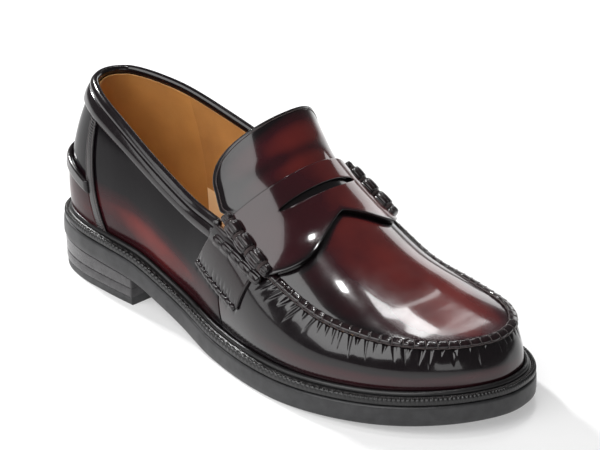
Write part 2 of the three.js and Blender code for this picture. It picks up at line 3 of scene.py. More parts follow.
import bmesh
import bpy
import numpy as np
from mathutils import Matrix, Quaternion, Vector


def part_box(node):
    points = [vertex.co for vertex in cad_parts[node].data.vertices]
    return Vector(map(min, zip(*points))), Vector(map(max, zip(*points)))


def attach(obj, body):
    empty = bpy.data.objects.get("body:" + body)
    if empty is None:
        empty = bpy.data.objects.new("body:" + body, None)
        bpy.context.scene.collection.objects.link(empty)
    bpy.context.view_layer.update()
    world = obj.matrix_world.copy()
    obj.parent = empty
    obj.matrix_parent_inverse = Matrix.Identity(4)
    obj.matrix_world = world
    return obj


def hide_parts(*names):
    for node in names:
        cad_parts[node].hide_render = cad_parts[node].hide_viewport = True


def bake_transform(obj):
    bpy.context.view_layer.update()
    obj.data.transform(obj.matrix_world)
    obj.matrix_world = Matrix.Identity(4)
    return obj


# The looks of a penny loafer. Shapes are worked out in pattern millimetres, as the CAD part is:
# x forward from the back of the sole, -y outer side, +y inner side, z up from the ground.
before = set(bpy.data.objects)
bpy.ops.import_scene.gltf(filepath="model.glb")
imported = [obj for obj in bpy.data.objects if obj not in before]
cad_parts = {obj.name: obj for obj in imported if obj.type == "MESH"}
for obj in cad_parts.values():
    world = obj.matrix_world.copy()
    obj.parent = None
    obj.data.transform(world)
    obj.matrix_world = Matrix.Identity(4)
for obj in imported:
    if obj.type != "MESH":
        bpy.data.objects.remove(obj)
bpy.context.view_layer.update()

MM = 0.001
OUTSOLE = 10.5
WELT = 3.9
WELT_SHOWS = 6.6
TOP_LIFT = 4.5
GAP = 0.3
HEEL_HEIGHT = 18
HEEL_LENGTH = 78
TOE_SPRING = 7.3
LEATHER = 1.3
SEAT = WELT_SHOWS + 4.4
LINING_IN = -3.9
LINING_OUT = -3.0
LOOP = 27

SOLE_EDGE = [
    [0, 0], [2, -15], [13, -27], [32, -34], [58, -36.5], [90, -37.5], [122, -41], [153, -48.5],
    [186, -54.5], [218, -54.5], [246, -48], [268, -37], [286, -21], [297, -3], [300, 13],
    [295.5, 30], [279, 44.5], [252, 54], [218, 56], [186, 51], [154, 42], [122, 35], [90, 32],
    [58, 33], [32, 33.5], [13, 27.5], [2, 15],
]
TOP_EDGE = [
    [19, 3, 110], [20.5, -4, 109.5], [26, -11, 108.3], [40, -18.5, 105], [60, -24, 98.5],
    [92, -30, 86], [124, -34, 74.5], [153, -38, 69.5], [186, -40.5, 56.8], [217, -40.5, 46.5],
    [243, -36, 43.5], [262, -27, 42.3], [276, -14, 42], [284, 0, 42], [286.5, 12, 42],
    [283, 25, 42.5], [270, 36, 43], [246, 42, 44], [217, 44, 47.5], [188, 44, 60],
    [155, 42, 72.5], [124, 37, 80], [92, 33.5, 90.5], [60, 28, 101.5], [40, 22.5, 106.5],
    [26, 16.5, 109], [20.5, 10, 109.7],
]
SWELL = [
    6, 6, 6, 5.5, 5, 4, 3.5, 4, 5, 5, 4.5, 3.5, 2.5, 1.5, 1.5, 1.5, 2, 3, 3.5, 3.5, 3, 3, 3.5,
    4.5, 5.5, 6, 6,
]
UNDERSIDE = [
    [0, 1.08, 0], [40, 1, 0], [78, 0.86, 0], [110, 0.44, 0], [140, 0.1, 0], [165, 0, 0],
    [200, 0, 0], [235, 0, 0.27], [265, 0, 0.59], [300, 0, 1],
]
CROWN = [
    [261, 6.3, 48.2], [256, 6, 49.3], [246, 5.5, 51.8], [232, 4.5, 56.5], [212, 3.5, 65],
    [190, 3, 77.5], [171, 3, 97], [164.5, 3.5, 110], [158, 4, 123],
]
OUTER_END = [[155, -37.5, 75], [144, -34.5, 89], [134, -33, 102]]
INNER_END = [[157, 42, 78], [146, 39, 91.5], [136, 38, 104]]
# Height of the apron along the middle of the forefoot, down to the toe seam.
SPINE = [[186, 80], [200, 71], [217, 62.6], [232, 56.7], [246, 52], [258, 48.9], [268, 46.5],
         [278, 44.2], [286.6, 42.1]]
# Places along the top edge and the ribs, counted in their points.
BACK_SEAM = 3.0
VAMP_SEAM = 7.0
SEAM_FROM, SEAM_TO = 7.72, 20.3
SADDLE_FRONT = 5
SADDLE_BACK = 6
TONGUE_CORNER = 6.9
TONGUE_END = 8
# Heights on the wall are shares: 0 at the sole, 1 at the top edge.
SEAM_TOP = 0.955
SEAM_STITCHES = 58
STITCH_LENGTH, STITCH_THICK = 1.75, 0.27
RIB_SPACING = 27.0
STRIP_LEAN = 0.75
LEDGE_DROP = 0.07
FOXING_TOP = 0.375
ROLL_RADIUS = 4.0
SIDES = ((-1, "lateral"), (1, "medial"))


# ---- curves and surfaces -------------------------------------------------------------------------
def spline(points, t, closed=True):
    p = np.asarray(points, float)
    n = len(p)
    t = np.asarray(t, float)
    i = np.floor(t).astype(int)
    u = (t - i)[..., None]
    a, b, c, d = (p[(i + k) % n] if closed else p[np.clip(i + k, 0, n - 1)] for k in (-1, 0, 1, 2))
    return 0.5 * (2 * b + (c - a) * u + (2 * a - 5 * b + 4 * c - d) * u ** 2
                  + (3 * b - a - 3 * c + d) * u ** 3)


def unit(v):
    return v / np.linalg.norm(v, axis=-1, keepdims=True)


def smoothstep(v):
    v = np.clip(v, 0, 1)
    return v * v * (3 - 2 * v)


def sole_edge(t, inset=0.0):
    p = spline(SOLE_EDGE, t)
    ahead = unit(spline(SOLE_EDGE, np.asarray(t) + 0.01) - spline(SOLE_EDGE, np.asarray(t) - 0.01))
    return np.stack([p[..., 0] - ahead[..., 1] * inset, p[..., 1] + ahead[..., 0] * inset], -1)


def underside(x):
    table = np.array(UNDERSIDE)
    x = np.asarray(x, float)
    i = np.clip(np.searchsorted(table[:, 0], x, side="right") - 1, 0, len(table) - 2)
    u = np.clip((x - table[i, 0]) / (table[i + 1, 0] - table[i, 0]), 0, 1)
    rows = spline(table[:, 1:], i + u, closed=False)
    return np.maximum(rows[..., 0], 0) * HEEL_HEIGHT + np.maximum(rows[..., 1], 0) * TOE_SPRING


def deck(x):
    return underside(x) + OUTSOLE


def lean(t, h):
    """Seams near the heel lean forward towards the welt."""
    place = t - LOOP * np.round(t / LOOP)
    near = np.minimum(np.abs(place), 6)
    return np.sign(place) * STRIP_LEAN * np.sin(np.pi * near / 6) * np.maximum(1 - h, 0) ** 1.2


def wall_curve(station, h):
    station, h = np.broadcast_arrays(np.asarray(station, float), np.asarray(h, float))
    t = station + lean(station, h)
    flat = sole_edge(t, WELT_SHOWS)
    foot = np.concatenate([flat, (deck(flat[..., 0]) + WELT + GAP)[..., None]], -1)
    top = spline(TOP_EDGE, t)
    out = sole_edge(t, 0) - sole_edge(t, 1)
    swell = spline(np.array(SWELL, float)[:, None], t)
    middle = (foot + top) / 2
    middle[..., :2] += 2 * swell * out
    h = h[..., None]
    return foot * (1 - h) ** 2 + 2 * middle * h * (1 - h) + top * h * h


def wall(t, h, lift):
    e = 0.02
    ahead = wall_curve(t + e, h) - wall_curve(t - e, h)
    up = wall_curve(t, h + e) - wall_curve(t, h - e)
    return wall_curve(t, h) + unit(np.cross(ahead, up)) * np.asarray(lift, float)[..., None]


TIP = 14.06
_OUTER = np.linspace(7.5, TIP, 800)
_INNER = np.linspace(19.5, TIP, 800)
_OUTER_POINTS = spline(TOP_EDGE, _OUTER)
_INNER_POINTS = spline(TOP_EDGE, _INNER)


def front_row(q, side):
    """End of a straight row across the apron: q = -0.5 at the toe tip to q = 5 at the saddle."""
    x_tip, x_four = 286.55, 217.0
    bent = x_four + (x_tip - x_four) * np.sin(np.pi / 2 * np.clip((4 - q) / 4.5, 0, 1))
    x = np.where(q < 4, bent, x_four - 29 * (q - 4))
    outer = np.stack([np.interp(x, _OUTER_POINTS[:, 0], _OUTER_POINTS[:, k]) for k in range(3)], -1)
    inner = np.stack([np.interp(x, _INNER_POINTS[:, 0], _INNER_POINTS[:, k]) for k in range(3)], -1)
    return np.where((side < 0)[..., None], outer, inner), x


def sheet_curve(q, u):
    """The top of the foot: q counts ribs from toe to tongue end, u goes -1 (outer) to 1 (inner)."""
    q, u = np.broadcast_arrays(np.asarray(q, float), np.asarray(u, float))
    side = np.where(u < 0, -1.0, 1.0)
    r = np.abs(u)
    crown = spline(CROWN, np.maximum(q, -0.5), closed=False)
    rows_out = [TOP_EDGE[9], TOP_EDGE[8], *OUTER_END]
    rows_in = [TOP_EDGE[18], TOP_EDGE[19], *INNER_END]
    back_q = np.maximum(q - SADDLE_FRONT, -1) + 1
    back_out, back_in = spline(rows_out, back_q, False), spline(rows_in, back_q, False)
    end_back = np.where((side < 0)[..., None], back_out, back_in)
    loop_t = np.where(side < 0, 13 - q, 14 + q)
    end = np.where((q <= SADDLE_FRONT)[..., None], spline(TOP_EDGE, loop_t), end_back)
    bend = np.where(side < 0, 1.1, 0.85)
    out = np.sin(bend * r) / np.sin(bend)
    drop = (1 - np.cos(bend * r)) / (1 - np.cos(bend))
    fan = np.clip(5 - q, 0, 1)
    share = np.stack([fan * out + (1 - fan) * drop, out, drop], -1)
    ribbed = crown + (end - crown) * share
    row_end, x = front_row(q, side)
    spine = np.array(SPINE, float)
    across = np.interp(x, [186, 286.6], [3.2, 10.5])
    top = np.stack([x, across, spline_height(x, spine)], -1)
    rowed = top + (row_end - top) * np.stack([out, out, drop], -1)
    w = smoothstep(q - 4)[..., None]
    return rowed * (1 - w) + ribbed * w


def spline_height(x, table):
    """A smooth height through the rows (x, z) of a table whose stations aren't evenly spaced."""
    xs, zs = table[:, 0], table[:, 1]
    slope = np.gradient(zs, xs)
    i = np.clip(np.searchsorted(xs, x, side="right") - 1, 0, len(xs) - 2)
    w = xs[i + 1] - xs[i]
    u = np.clip((x - xs[i]) / w, 0, 1)
    a = (2 * u ** 3 - 3 * u ** 2 + 1) * zs[i] + (u ** 3 - 2 * u ** 2 + u) * w * slope[i]
    return a + (3 * u ** 2 - 2 * u ** 3) * zs[i + 1] + (u ** 3 - u ** 2) * w * slope[i + 1]


def sheet(q, u, lift):
    e = 0.02
    q, u = np.broadcast_arrays(np.asarray(q, float), np.asarray(u, float))
    v = np.where(np.abs(u) < 0.04, np.where(u < 0, -0.04, 0.04), u)
    back = sheet_curve(q + e, v) - sheet_curve(np.maximum(q - e, -0.495), v)
    side = sheet_curve(q, v + e / 2) - sheet_curve(q, v - e / 2)
    return sheet_curve(q, u) + unit(np.cross(side, back)) * np.asarray(lift, float)[..., None]


def rib_end(q, side):
    return sheet_curve(q, np.full_like(np.asarray(q, float), side))


# The frame's own sole says where the pattern lies in it.
_low, _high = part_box("outsole")
_loop = sole_edge(np.linspace(0, LOOP, 2001))
SHIFT = np.array([
    _low.x / MM - (sole_edge(0.0)[0] + 0.35),
    (_low.y + _high.y) / 2 / MM - (_loop[:, 1].min() + _loop[:, 1].max()) / 2,
    0.0,
])


def to_frame(points):
    return (np.asarray(points, float) + SHIFT) * MM


# ---- meshes --------------------------------------------------------------------------------------
def make_mesh(name, points, faces, dye_and_shade=None, weld=False, smooth=True):
    mesh = bpy.data.meshes.new(name)
    mesh.from_pydata(to_frame(points).tolist(), [], [list(map(int, f)) for f in faces])
    mesh.polygons.foreach_set("use_smooth", [smooth] * len(mesh.polygons))
    tint = mesh.attributes.new("dye_and_shade", "FLOAT", "POINT")
    values = np.zeros(len(points)) if dye_and_shade is None else np.asarray(dye_and_shade, float).ravel()
    tint.data.foreach_set("value", values.astype(np.float32))
    solid = bmesh.new()
    solid.from_mesh(mesh)
    if weld:
        bmesh.ops.remove_doubles(solid, verts=solid.verts, dist=4e-6)
    if solid.calc_volume(signed=True) < 0:
        bmesh.ops.reverse_faces(solid, faces=solid.faces)
    solid.to_mesh(mesh)
    solid.free()
    piece = bpy.data.objects.new(name, mesh)
    bpy.context.scene.collection.objects.link(piece)
    return piece


def grid_faces(n, m, closed=False):
    i, j = np.meshgrid(np.arange(n if closed else n - 1), np.arange(m - 1), indexing="ij")
    i, j = i.ravel(), j.ravel()
    k = (i + 1) % n
    return np.stack([i * m + j, k * m + j, k * m + j + 1, i * m + j + 1], -1)


def slab_faces(n, m, closed=False):
    """Faces of a panel between an upper and a lower grid of n by m points, with its edges."""
    top = grid_faces(n, m, closed)
    low = top[:, ::-1] + n * m
    faces = [top, low]

    def rim(a):
        a, b = a[:-1], a[1:]
        faces.append(np.stack([b, a, a + n * m, b + n * m], -1))

    ring = np.arange(n + 1) % n if closed else np.arange(n)
    rim(ring * m)
    rim((ring * m + m - 1)[::-1])
    if not closed:
        rim(np.arange(m)[::-1])
        rim((n - 1) * m + np.arange(m))
    return np.concatenate(faces)


EDGE_STEPS = np.array([0, 0.1, 0.3, 0.6, 1.0])


def panel_lines(start, stop, count, scale, radius, ends=(True, True)):
    """Grid lines from start to stop, close together across each rounded edge."""
    rim = radius * EDGE_STEPS / scale
    first = start + rim[:-1] if ends[0] else []
    last = stop - rim[:-1][::-1] if ends[1] else []
    low = start + rim[-1] if ends[0] else start
    high = stop - rim[-1] if ends[1] else stop
    return np.concatenate([first, np.linspace(low, high, count), last])


def scale_of(surface, a, b, axis):
    e = 1e-3
    step = (e, 0) if axis == 0 else (0, e)
    here = surface(np.array(a), np.array(b), np.array(0.0))
    there = surface(np.array(a + step[0]), np.array(b + step[1]), np.array(0.0))
    return float(np.linalg.norm(there - here)) / e


def panel(name, surface, a_span, b_span, counts, low, high, radius=0.6, relief=None, dye_and_shade=None,
          round_a=(True, True), round_b=(True, True)):
    """A leather panel on a surface, from lift low to lift high, with rounded edges."""
    a_mid, b_mid = sum(a_span) / 2, sum(b_span) / 2
    a_scale = scale_of(surface, a_mid, b_mid, 0)
    b_scale = scale_of(surface, a_mid, b_mid, 1)
    a = panel_lines(*a_span, counts[0], a_scale, radius, round_a)
    b = panel_lines(*b_span, counts[1], b_scale, radius, round_b)
    a_grid, b_grid = np.meshgrid(a, b, indexing="ij")
    near = np.full(a_grid.shape, 1e3)
    edges = ((a_grid, a_span, a_scale, round_a), (b_grid, b_span, b_scale, round_b))
    for value, span, scale, ends in edges:
        if ends[0]:
            near = np.minimum(near, (value - span[0]) * scale)
        if ends[1]:
            near = np.minimum(near, (span[1] - value) * scale)
    near = np.clip(near, 0, radius)
    roll = radius - np.sqrt(np.maximum(radius ** 2 - (radius - near) ** 2, 0))
    lift = high - roll
    if relief is not None:
        lift = lift + relief(a_grid, b_grid)
    upper = surface(a_grid, b_grid, lift)
    lower = surface(a_grid, b_grid, np.full(a_grid.shape, float(low)))
    tint = np.zeros(a_grid.shape) if dye_and_shade is None else dye_and_shade(a_grid, b_grid)
    points = np.concatenate([upper.reshape(-1, 3), lower.reshape(-1, 3)])
    return make_mesh(name, points, slab_faces(*a_grid.shape), np.concatenate([tint.ravel()] * 2))


def tube_mesh(name, centres, across, up, wide, high, sides=12, closed=False, shape=None, dye_and_shade=None):
    """A tube along centres. shape(angle) may scale its section."""
    n = len(centres)
    angle = np.linspace(0, 2 * np.pi, sides, endpoint=False)
    factor = np.ones((n, sides)) if shape is None else shape(angle)
    wide = np.broadcast_to(np.asarray(wide, float), (n,))[:, None] * factor
    high = np.broadcast_to(np.asarray(high, float), (n,))[:, None] * factor
    points = (centres[:, None] + across[:, None] * (wide * np.cos(angle))[..., None]
              + up[:, None] * (high * np.sin(angle))[..., None])
    points = points.reshape(-1, 3)
    rings = n if closed else n - 1
    i, k = np.meshgrid(np.arange(rings), np.arange(sides), indexing="ij")
    i, k = i.ravel(), k.ravel()
    nxt, turn = (i + 1) % n, (k + 1) % sides
    faces = np.stack([i * sides + k, i * sides + turn, nxt * sides + turn, nxt * sides + k], -1).tolist()
    if not closed:
        faces.append(list(range(sides))[::-1])
        faces.append([(n - 1) * sides + s for s in range(sides)])
    return make_mesh(name, points, faces, dye_and_shade)


def frames_along(path, outward, us, step=1e-3):
    centre = path(us)
    ahead = unit(path(us + step) - path(us - step))
    up = outward(us)
    up = unit(up - ahead * np.sum(up * ahead, -1, keepdims=True))
    return centre, ahead, np.cross(ahead, up), up


def stitches(name, path, outward, count, length, thick, sink=0.3, tilt=0.0):
    """A row of separate stitches lying in the leather along path(0..1)."""
    us = (np.arange(count) + 0.5) / count
    centre, ahead, across, up = frames_along(path, outward, us)
    ahead = unit(ahead + across * tilt)
    across = np.cross(ahead, up)
    rings = np.array([-1, -0.82, -0.4, 0.0, 0.4, 0.82, 1])
    fat = np.sqrt(np.clip(1 - np.abs(rings) ** 4, 0, 1)) + 0.02
    drop = -0.5 * thick * rings ** 2
    curves = []
    for k in range(count):
        mid = centre[k] - up[k] * thick * sink
        curves.append([(mid + ahead[k] * ring * length / 2 + up[k] * low, across[k] * full, up[k] * full)
                       for ring, full, low in zip(rings, fat, drop)])
    return strands(name, curves, thick, 8)


def strands(name, curves, thick, sides):
    """Separate round threads. Each curve is a list of (centre, one way across, the other way)."""
    ring = np.linspace(0, 2 * np.pi, sides, endpoint=False)
    points, faces = [], []
    for curve in curves:
        base = len(points)
        for centre, first, second in curve:
            points.extend(centre + thick * (first * math.cos(a) + second * math.sin(a)) for a in ring)
        for i in range(len(curve) - 1):
            for k in range(sides):
                p, q = base + i * sides + k, base + i * sides + (k + 1) % sides
                faces.append([p, q, q + sides, p + sides])
        faces.append([base + k for k in range(sides)][::-1])
        faces.append([base + (len(curve) - 1) * sides + k for k in range(sides)])
    return make_mesh(name, np.array(points), faces)


def ring_loft(name, ts, profile, capped=True, dye_and_shade=None, outline=sole_edge):
    """A solid lofted round the sole outline. Each profile row is (inset, a function from x to z)."""
    rows = []
    for inset, height in profile:
        edge = outline(ts, inset)
        rows.append(np.concatenate([edge, height(edge[:, 0])[:, None]], -1))
    grid = np.stack(rows, 1)
    n, m = grid.shape[:2]
    points = grid.reshape(-1, 3)
    if not capped:
        faces = np.concatenate([grid_faces(n, m, True), close_rows(n, m)])
        return make_mesh(name, points, faces, dye_and_shade)
    faces = grid_faces(n, m, True).tolist()
    extra = []
    for column, (_, height) in ((0, profile[0]), (m - 1, profile[-1])):
        start = len(points) + len(extra)
        cap, cap_faces = filled(points.reshape(n, m, 3)[:, column], height, start, column == 0)
        extra.extend(cap)
        ring = [k * m + column for k in range(n)]
        first = [start + k for k in range(n)]
        for k in range(n):
            k2 = (k + 1) % n
            quad = [ring[k], ring[k2], first[k2], first[k]]
            faces.append(quad[::-1] if column == 0 else quad)
        faces.extend(cap_faces)
    return make_mesh(name, np.concatenate([points, np.array(extra)]), faces, dye_and_shade, weld=True)


def close_rows(n, m):
    i = np.arange(n)
    k = (i + 1) % n
    return np.stack([i * m + m - 1, k * m + m - 1, k * m, i * m], -1)


def filled(ring, height, start, flip):
    """Points and faces that fill a ring towards its spine, keeping the height of the sole."""
    x0, x1 = ring[:, 0].min(), ring[:, 0].max()
    half = (ring[:, 1].max() - ring[:, 1].min()) / 2
    spine_x = np.clip(ring[:, 0], x0 + 0.8 * half, x1 - 0.8 * half)
    middle = np.interp(spine_x, [x0, (x0 + x1) / 2, x1], [0, -1, 5])
    points, faces = [], []
    shares = [0.04, 0.3, 0.6, 0.85, 1.0]
    n = len(ring)
    for share in shares:
        x = ring[:, 0] + (spine_x - ring[:, 0]) * share
        y = ring[:, 1] + (middle - ring[:, 1]) * share
        points.extend(np.stack([x, y, height(x)], -1).tolist())
    for r in range(len(shares) - 1):
        for k in range(n):
            k2 = (k + 1) % n
            here, there = start + r * n, start + (r + 1) * n
            quad = [here + k, here + k2, there + k2, there + k]
            faces.append(quad[::-1] if flip else quad)
    return points, faces


# ---- materials -----------------------------------------------------------------------------------
def new_material(name):
    material = bpy.data.materials.new(name)
    material.use_nodes = True
    nodes = material.node_tree.nodes
    nodes.clear()
    out = nodes.new("ShaderNodeOutputMaterial")
    shader = nodes.new("ShaderNodeBsdfPrincipled")
    material.node_tree.links.new(shader.outputs[0], out.inputs[0])
    return material, shader


def link(material, a, b):
    material.node_tree.links.new(a, b)


def node(material, kind, **values):
    made = material.node_tree.nodes.new(kind)
    for key, value in values.items():
        setattr(made, key, value)
    return made


def noise(material, scale, detail=3.0, stretch=(1, 1, 1), rough=0.5):
    place = node(material, "ShaderNodeTexCoord")
    mapping = node(material, "ShaderNodeMapping")
    mapping.inputs["Scale"].default_value = stretch
    texture = node(material, "ShaderNodeTexNoise")
    texture.inputs["Scale"].default_value = scale
    texture.inputs["Detail"].default_value = detail
    texture.inputs["Roughness"].default_value = rough
    link(material, place.outputs["Object"], mapping.inputs["Vector"])
    link(material, mapping.outputs["Vector"], texture.inputs["Vector"])
    return texture.outputs["Fac"]


def ramp(material, source, stops):
    made = node(material, "ShaderNodeValToRGB")
    elements = made.color_ramp.elements
    while len(elements) < len(stops):
        elements.new(0.5)
    for element, (place, colour) in zip(elements, stops):
        element.position = place
        element.color = (*colour, 1)
    link(material, source, made.inputs["Fac"])
    return made.outputs["Color"]


def blend_values(material, a, b, operation, clamp=True):
    made = node(material, "ShaderNodeMath", operation=operation, use_clamp=clamp)
    for socket, value in zip(made.inputs, (a, b)):
        if isinstance(value, (int, float)):
            socket.default_value = value
        else:
            link(material, value, socket)
    return made.outputs[0]


def bump(material, shader, layers):
    """Stacks bump layers: (height source, strength, distance in metres)."""
    normal = None
    for height, strength, distance in layers:
        made = node(material, "ShaderNodeBump")
        made.inputs["Strength"].default_value = strength
        made.inputs["Distance"].default_value = distance
        link(material, height, made.inputs["Height"])
        if normal is not None:
            link(material, normal, made.inputs["Normal"])
        normal = made.outputs["Normal"]
    link(material, normal, shader.inputs["Normal"])


def gloss_leather(name, bright, mid, dark, roughness=0.16, coat=0.55):
    """Brushed-off box leather: a red ground under a near-black dye. The dye_and_shade attribute darkens it:
    partly dye pooled at edges, partly painted shade in creases, pinches and under other parts.
    """
    material, shader = new_material(name)
    # dye_and_shade per vertex: pooled dye plus painted shade, set by each piece.
    dye_and_shade = node(material, "ShaderNodeAttribute", attribute_name="dye_and_shade").outputs["Fac"]
    cloud = noise(material, 38, 3)
    cloudy = blend_values(material, cloud, 0.42, "MULTIPLY")
    total = blend_values(material, dye_and_shade, cloudy, "ADD", clamp=False)
    total = blend_values(material, total, 0.21, "SUBTRACT")
    colour = ramp(material, total, [(0.0, bright), (0.38, mid), (0.8, dark)])
    link(material, colour, shader.inputs["Base Color"])
    fine = noise(material, 1500, 2)
    pores = noise(material, 4200, 1)
    smooth, rough = (roughness * 0.8,) * 3, (roughness * 1.25,) * 3
    dull = ramp(material, noise(material, 120, 3), [(0.3, smooth), (0.7, rough)])
    link(material, dull, shader.inputs["Roughness"])
    shader.inputs["Specular IOR Level"].default_value = 0.55 * coat
    shader.inputs["Coat Weight"].default_value = coat
    shader.inputs["Coat Roughness"].default_value = 0.05
    shader.inputs["Coat IOR"].default_value = 1.5
    waves = noise(material, 60, 2)
    bump(material, shader, [(waves, 0.12, 0.0012), (fine, 0.05, 0.00015), (pores, 0.03, 0.0001)])
    return material


def soft_leather(name, light, dark, grain, roughness):
    material, shader = new_material(name)
    patches = noise(material, 55, 4)
    dye_and_shade = node(material, "ShaderNodeAttribute", attribute_name="dye_and_shade").outputs["Fac"]
    worn = blend_values(material, patches, dye_and_shade, "ADD", clamp=False)
    bare = (0.98, 0.68, 0.36)
    colour = ramp(material, worn, [(0.0, bare), (0.1, bare), (0.2, light), (0.35, light), (0.95, dark)])
    link(material, colour, shader.inputs["Base Color"])
    shader.inputs["Roughness"].default_value = roughness
    shader.inputs["Sheen Weight"].default_value = 0.12
    coarse = noise(material, grain, 5, rough=0.7)
    bump(material, shader, [(coarse, 0.5, 0.0004), (noise(material, 2600, 2), 0.3, 0.00012)])
    return material


def rubber(name, light, dark, roughness, lines=0.0, specks=900):
    material, shader = new_material(name)
    mottled = noise(material, 220, 4)
    colour = ramp(material, mottled, [(0.3, dark), (0.75, light)])
    link(material, colour, shader.inputs["Base Color"])
    smooth, rough = (roughness * 0.85,) * 3, (roughness * 1.2,) * 3
    dull = ramp(material, noise(material, 90, 3), [(0.3, smooth), (0.75, rough)])
    link(material, dull, shader.inputs["Roughness"])
    layers = [(noise(material, specks, 3), 0.22, 0.0002)]
    if lines:
        layers.append((noise(material, 70, 2, stretch=(0.12, 0.12, lines)), 0.35, 0.0003))
    bump(material, shader, layers)
    return material


def twisted_thread(name, light, dark):
    material, shader = new_material(name)
    place = node(material, "ShaderNodeTexCoord")
    wave = node(material, "ShaderNodeTexWave", wave_type="BANDS", bands_direction="DIAGONAL")
    wave.inputs["Scale"].default_value = 700
    wave.inputs["Distortion"].default_value = 1.5
    link(material, place.outputs["Object"], wave.inputs["Vector"])
    colour = ramp(material, wave.outputs["Fac"], [(0.2, dark), (0.8, light)])
    link(material, colour, shader.inputs["Base Color"])
    shader.inputs["Roughness"].default_value = 0.62
    bump(material, shader, [(wave.outputs["Fac"], 0.6, 0.0002)])
    return material


def brushed_steel(name):
    material, shader = new_material(name)
    streak = noise(material, 260, 3, stretch=(0.2, 3, 3))
    shades = ramp(material, streak, [(0.3, (0.42, 0.43, 0.45)), (0.7, (0.62, 0.63, 0.66))])
    link(material, shades, shader.inputs["Base Color"])
    shader.inputs["Metallic"].default_value = 1
    dull = ramp(material, streak, [(0.2, (0.25,) * 3), (0.8, (0.45,) * 3)])
    link(material, dull, shader.inputs["Roughness"])
    bump(material, shader, [(streak, 0.2, 0.0001)])
    return material


def fibre(name, light, dark, scale, roughness=0.85):
    material, shader = new_material(name)
    grain = noise(material, scale, 5, rough=0.65)
    link(material, ramp(material, grain, [(0.3, dark), (0.7, light)]), shader.inputs["Base Color"])
    shader.inputs["Roughness"].default_value = roughness
    bump(material, shader, [(grain, 0.5, 0.0005)])
    return material


OXBLOOD = gloss_leather("oxblood_leather", (0.150, 0.019, 0.016), (0.036, 0.006, 0.009),
                        (0.006, 0.004, 0.005))
QUARTER = gloss_leather("quarter_leather", (0.150, 0.019, 0.016), (0.030, 0.005, 0.007),
                        (0.004, 0.003, 0.004), coat=0.14)
DARK = gloss_leather("dark_leather", (0.03, 0.005, 0.007), (0.012, 0.004, 0.005),
                     (0.005, 0.003, 0.004), roughness=0.2)
TAN = soft_leather("tan_leather", (0.86, 0.55, 0.27), (0.72, 0.42, 0.17), 300, 0.5)
LINING = soft_leather("lining_leather", (0.52, 0.235, 0.058), (0.33, 0.135, 0.03), 700, 0.6)
HEEL_LINING = soft_leather("heel_lining_leather", (0.56, 0.26, 0.066), (0.42, 0.18, 0.042), 160, 0.42)
RUBBER = rubber("sole_rubber", (0.030, 0.030, 0.032), (0.014, 0.014, 0.015), 0.42)
STACK = rubber("heel_stack", (0.060, 0.057, 0.060), (0.026, 0.024, 0.026), 0.24, lines=14)
WELT_LEATHER = rubber("welt_leather", (0.012, 0.011, 0.012), (0.004, 0.004, 0.004), 0.34, specks=2200)
THREAD = twisted_thread("waxed_thread", (0.085, 0.06, 0.06), (0.012, 0.008, 0.008))
WELT_THREAD = twisted_thread("welt_thread_black", (0.05, 0.045, 0.045), (0.01, 0.009, 0.009))
STEEL = brushed_steel("steel")
CORK = fibre("cork", (0.36, 0.20, 0.09), (0.17, 0.08, 0.035), 900, 0.95)
BOARD = fibre("insole_board_fibre", (0.50, 0.36, 0.22), (0.36, 0.25, 0.14), 1400)
STIFF = fibre("stiffener_fibre", (0.66, 0.60, 0.50), (0.50, 0.45, 0.36), 1100)


def finish(piece, material, slot, *replaced, body="shoe"):
    piece.data.materials.append(material)
    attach(piece, body)
    if replaced:
        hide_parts(*replaced)
    return piece


# ---- sole ----------------------------------------------------------------------------------------
def over(lift):
    return lambda x: deck(x) + lift


def under(lift):
    return lambda x: underside(x) + lift


def flat(z):
    return lambda x: np.full(np.shape(x), float(z))


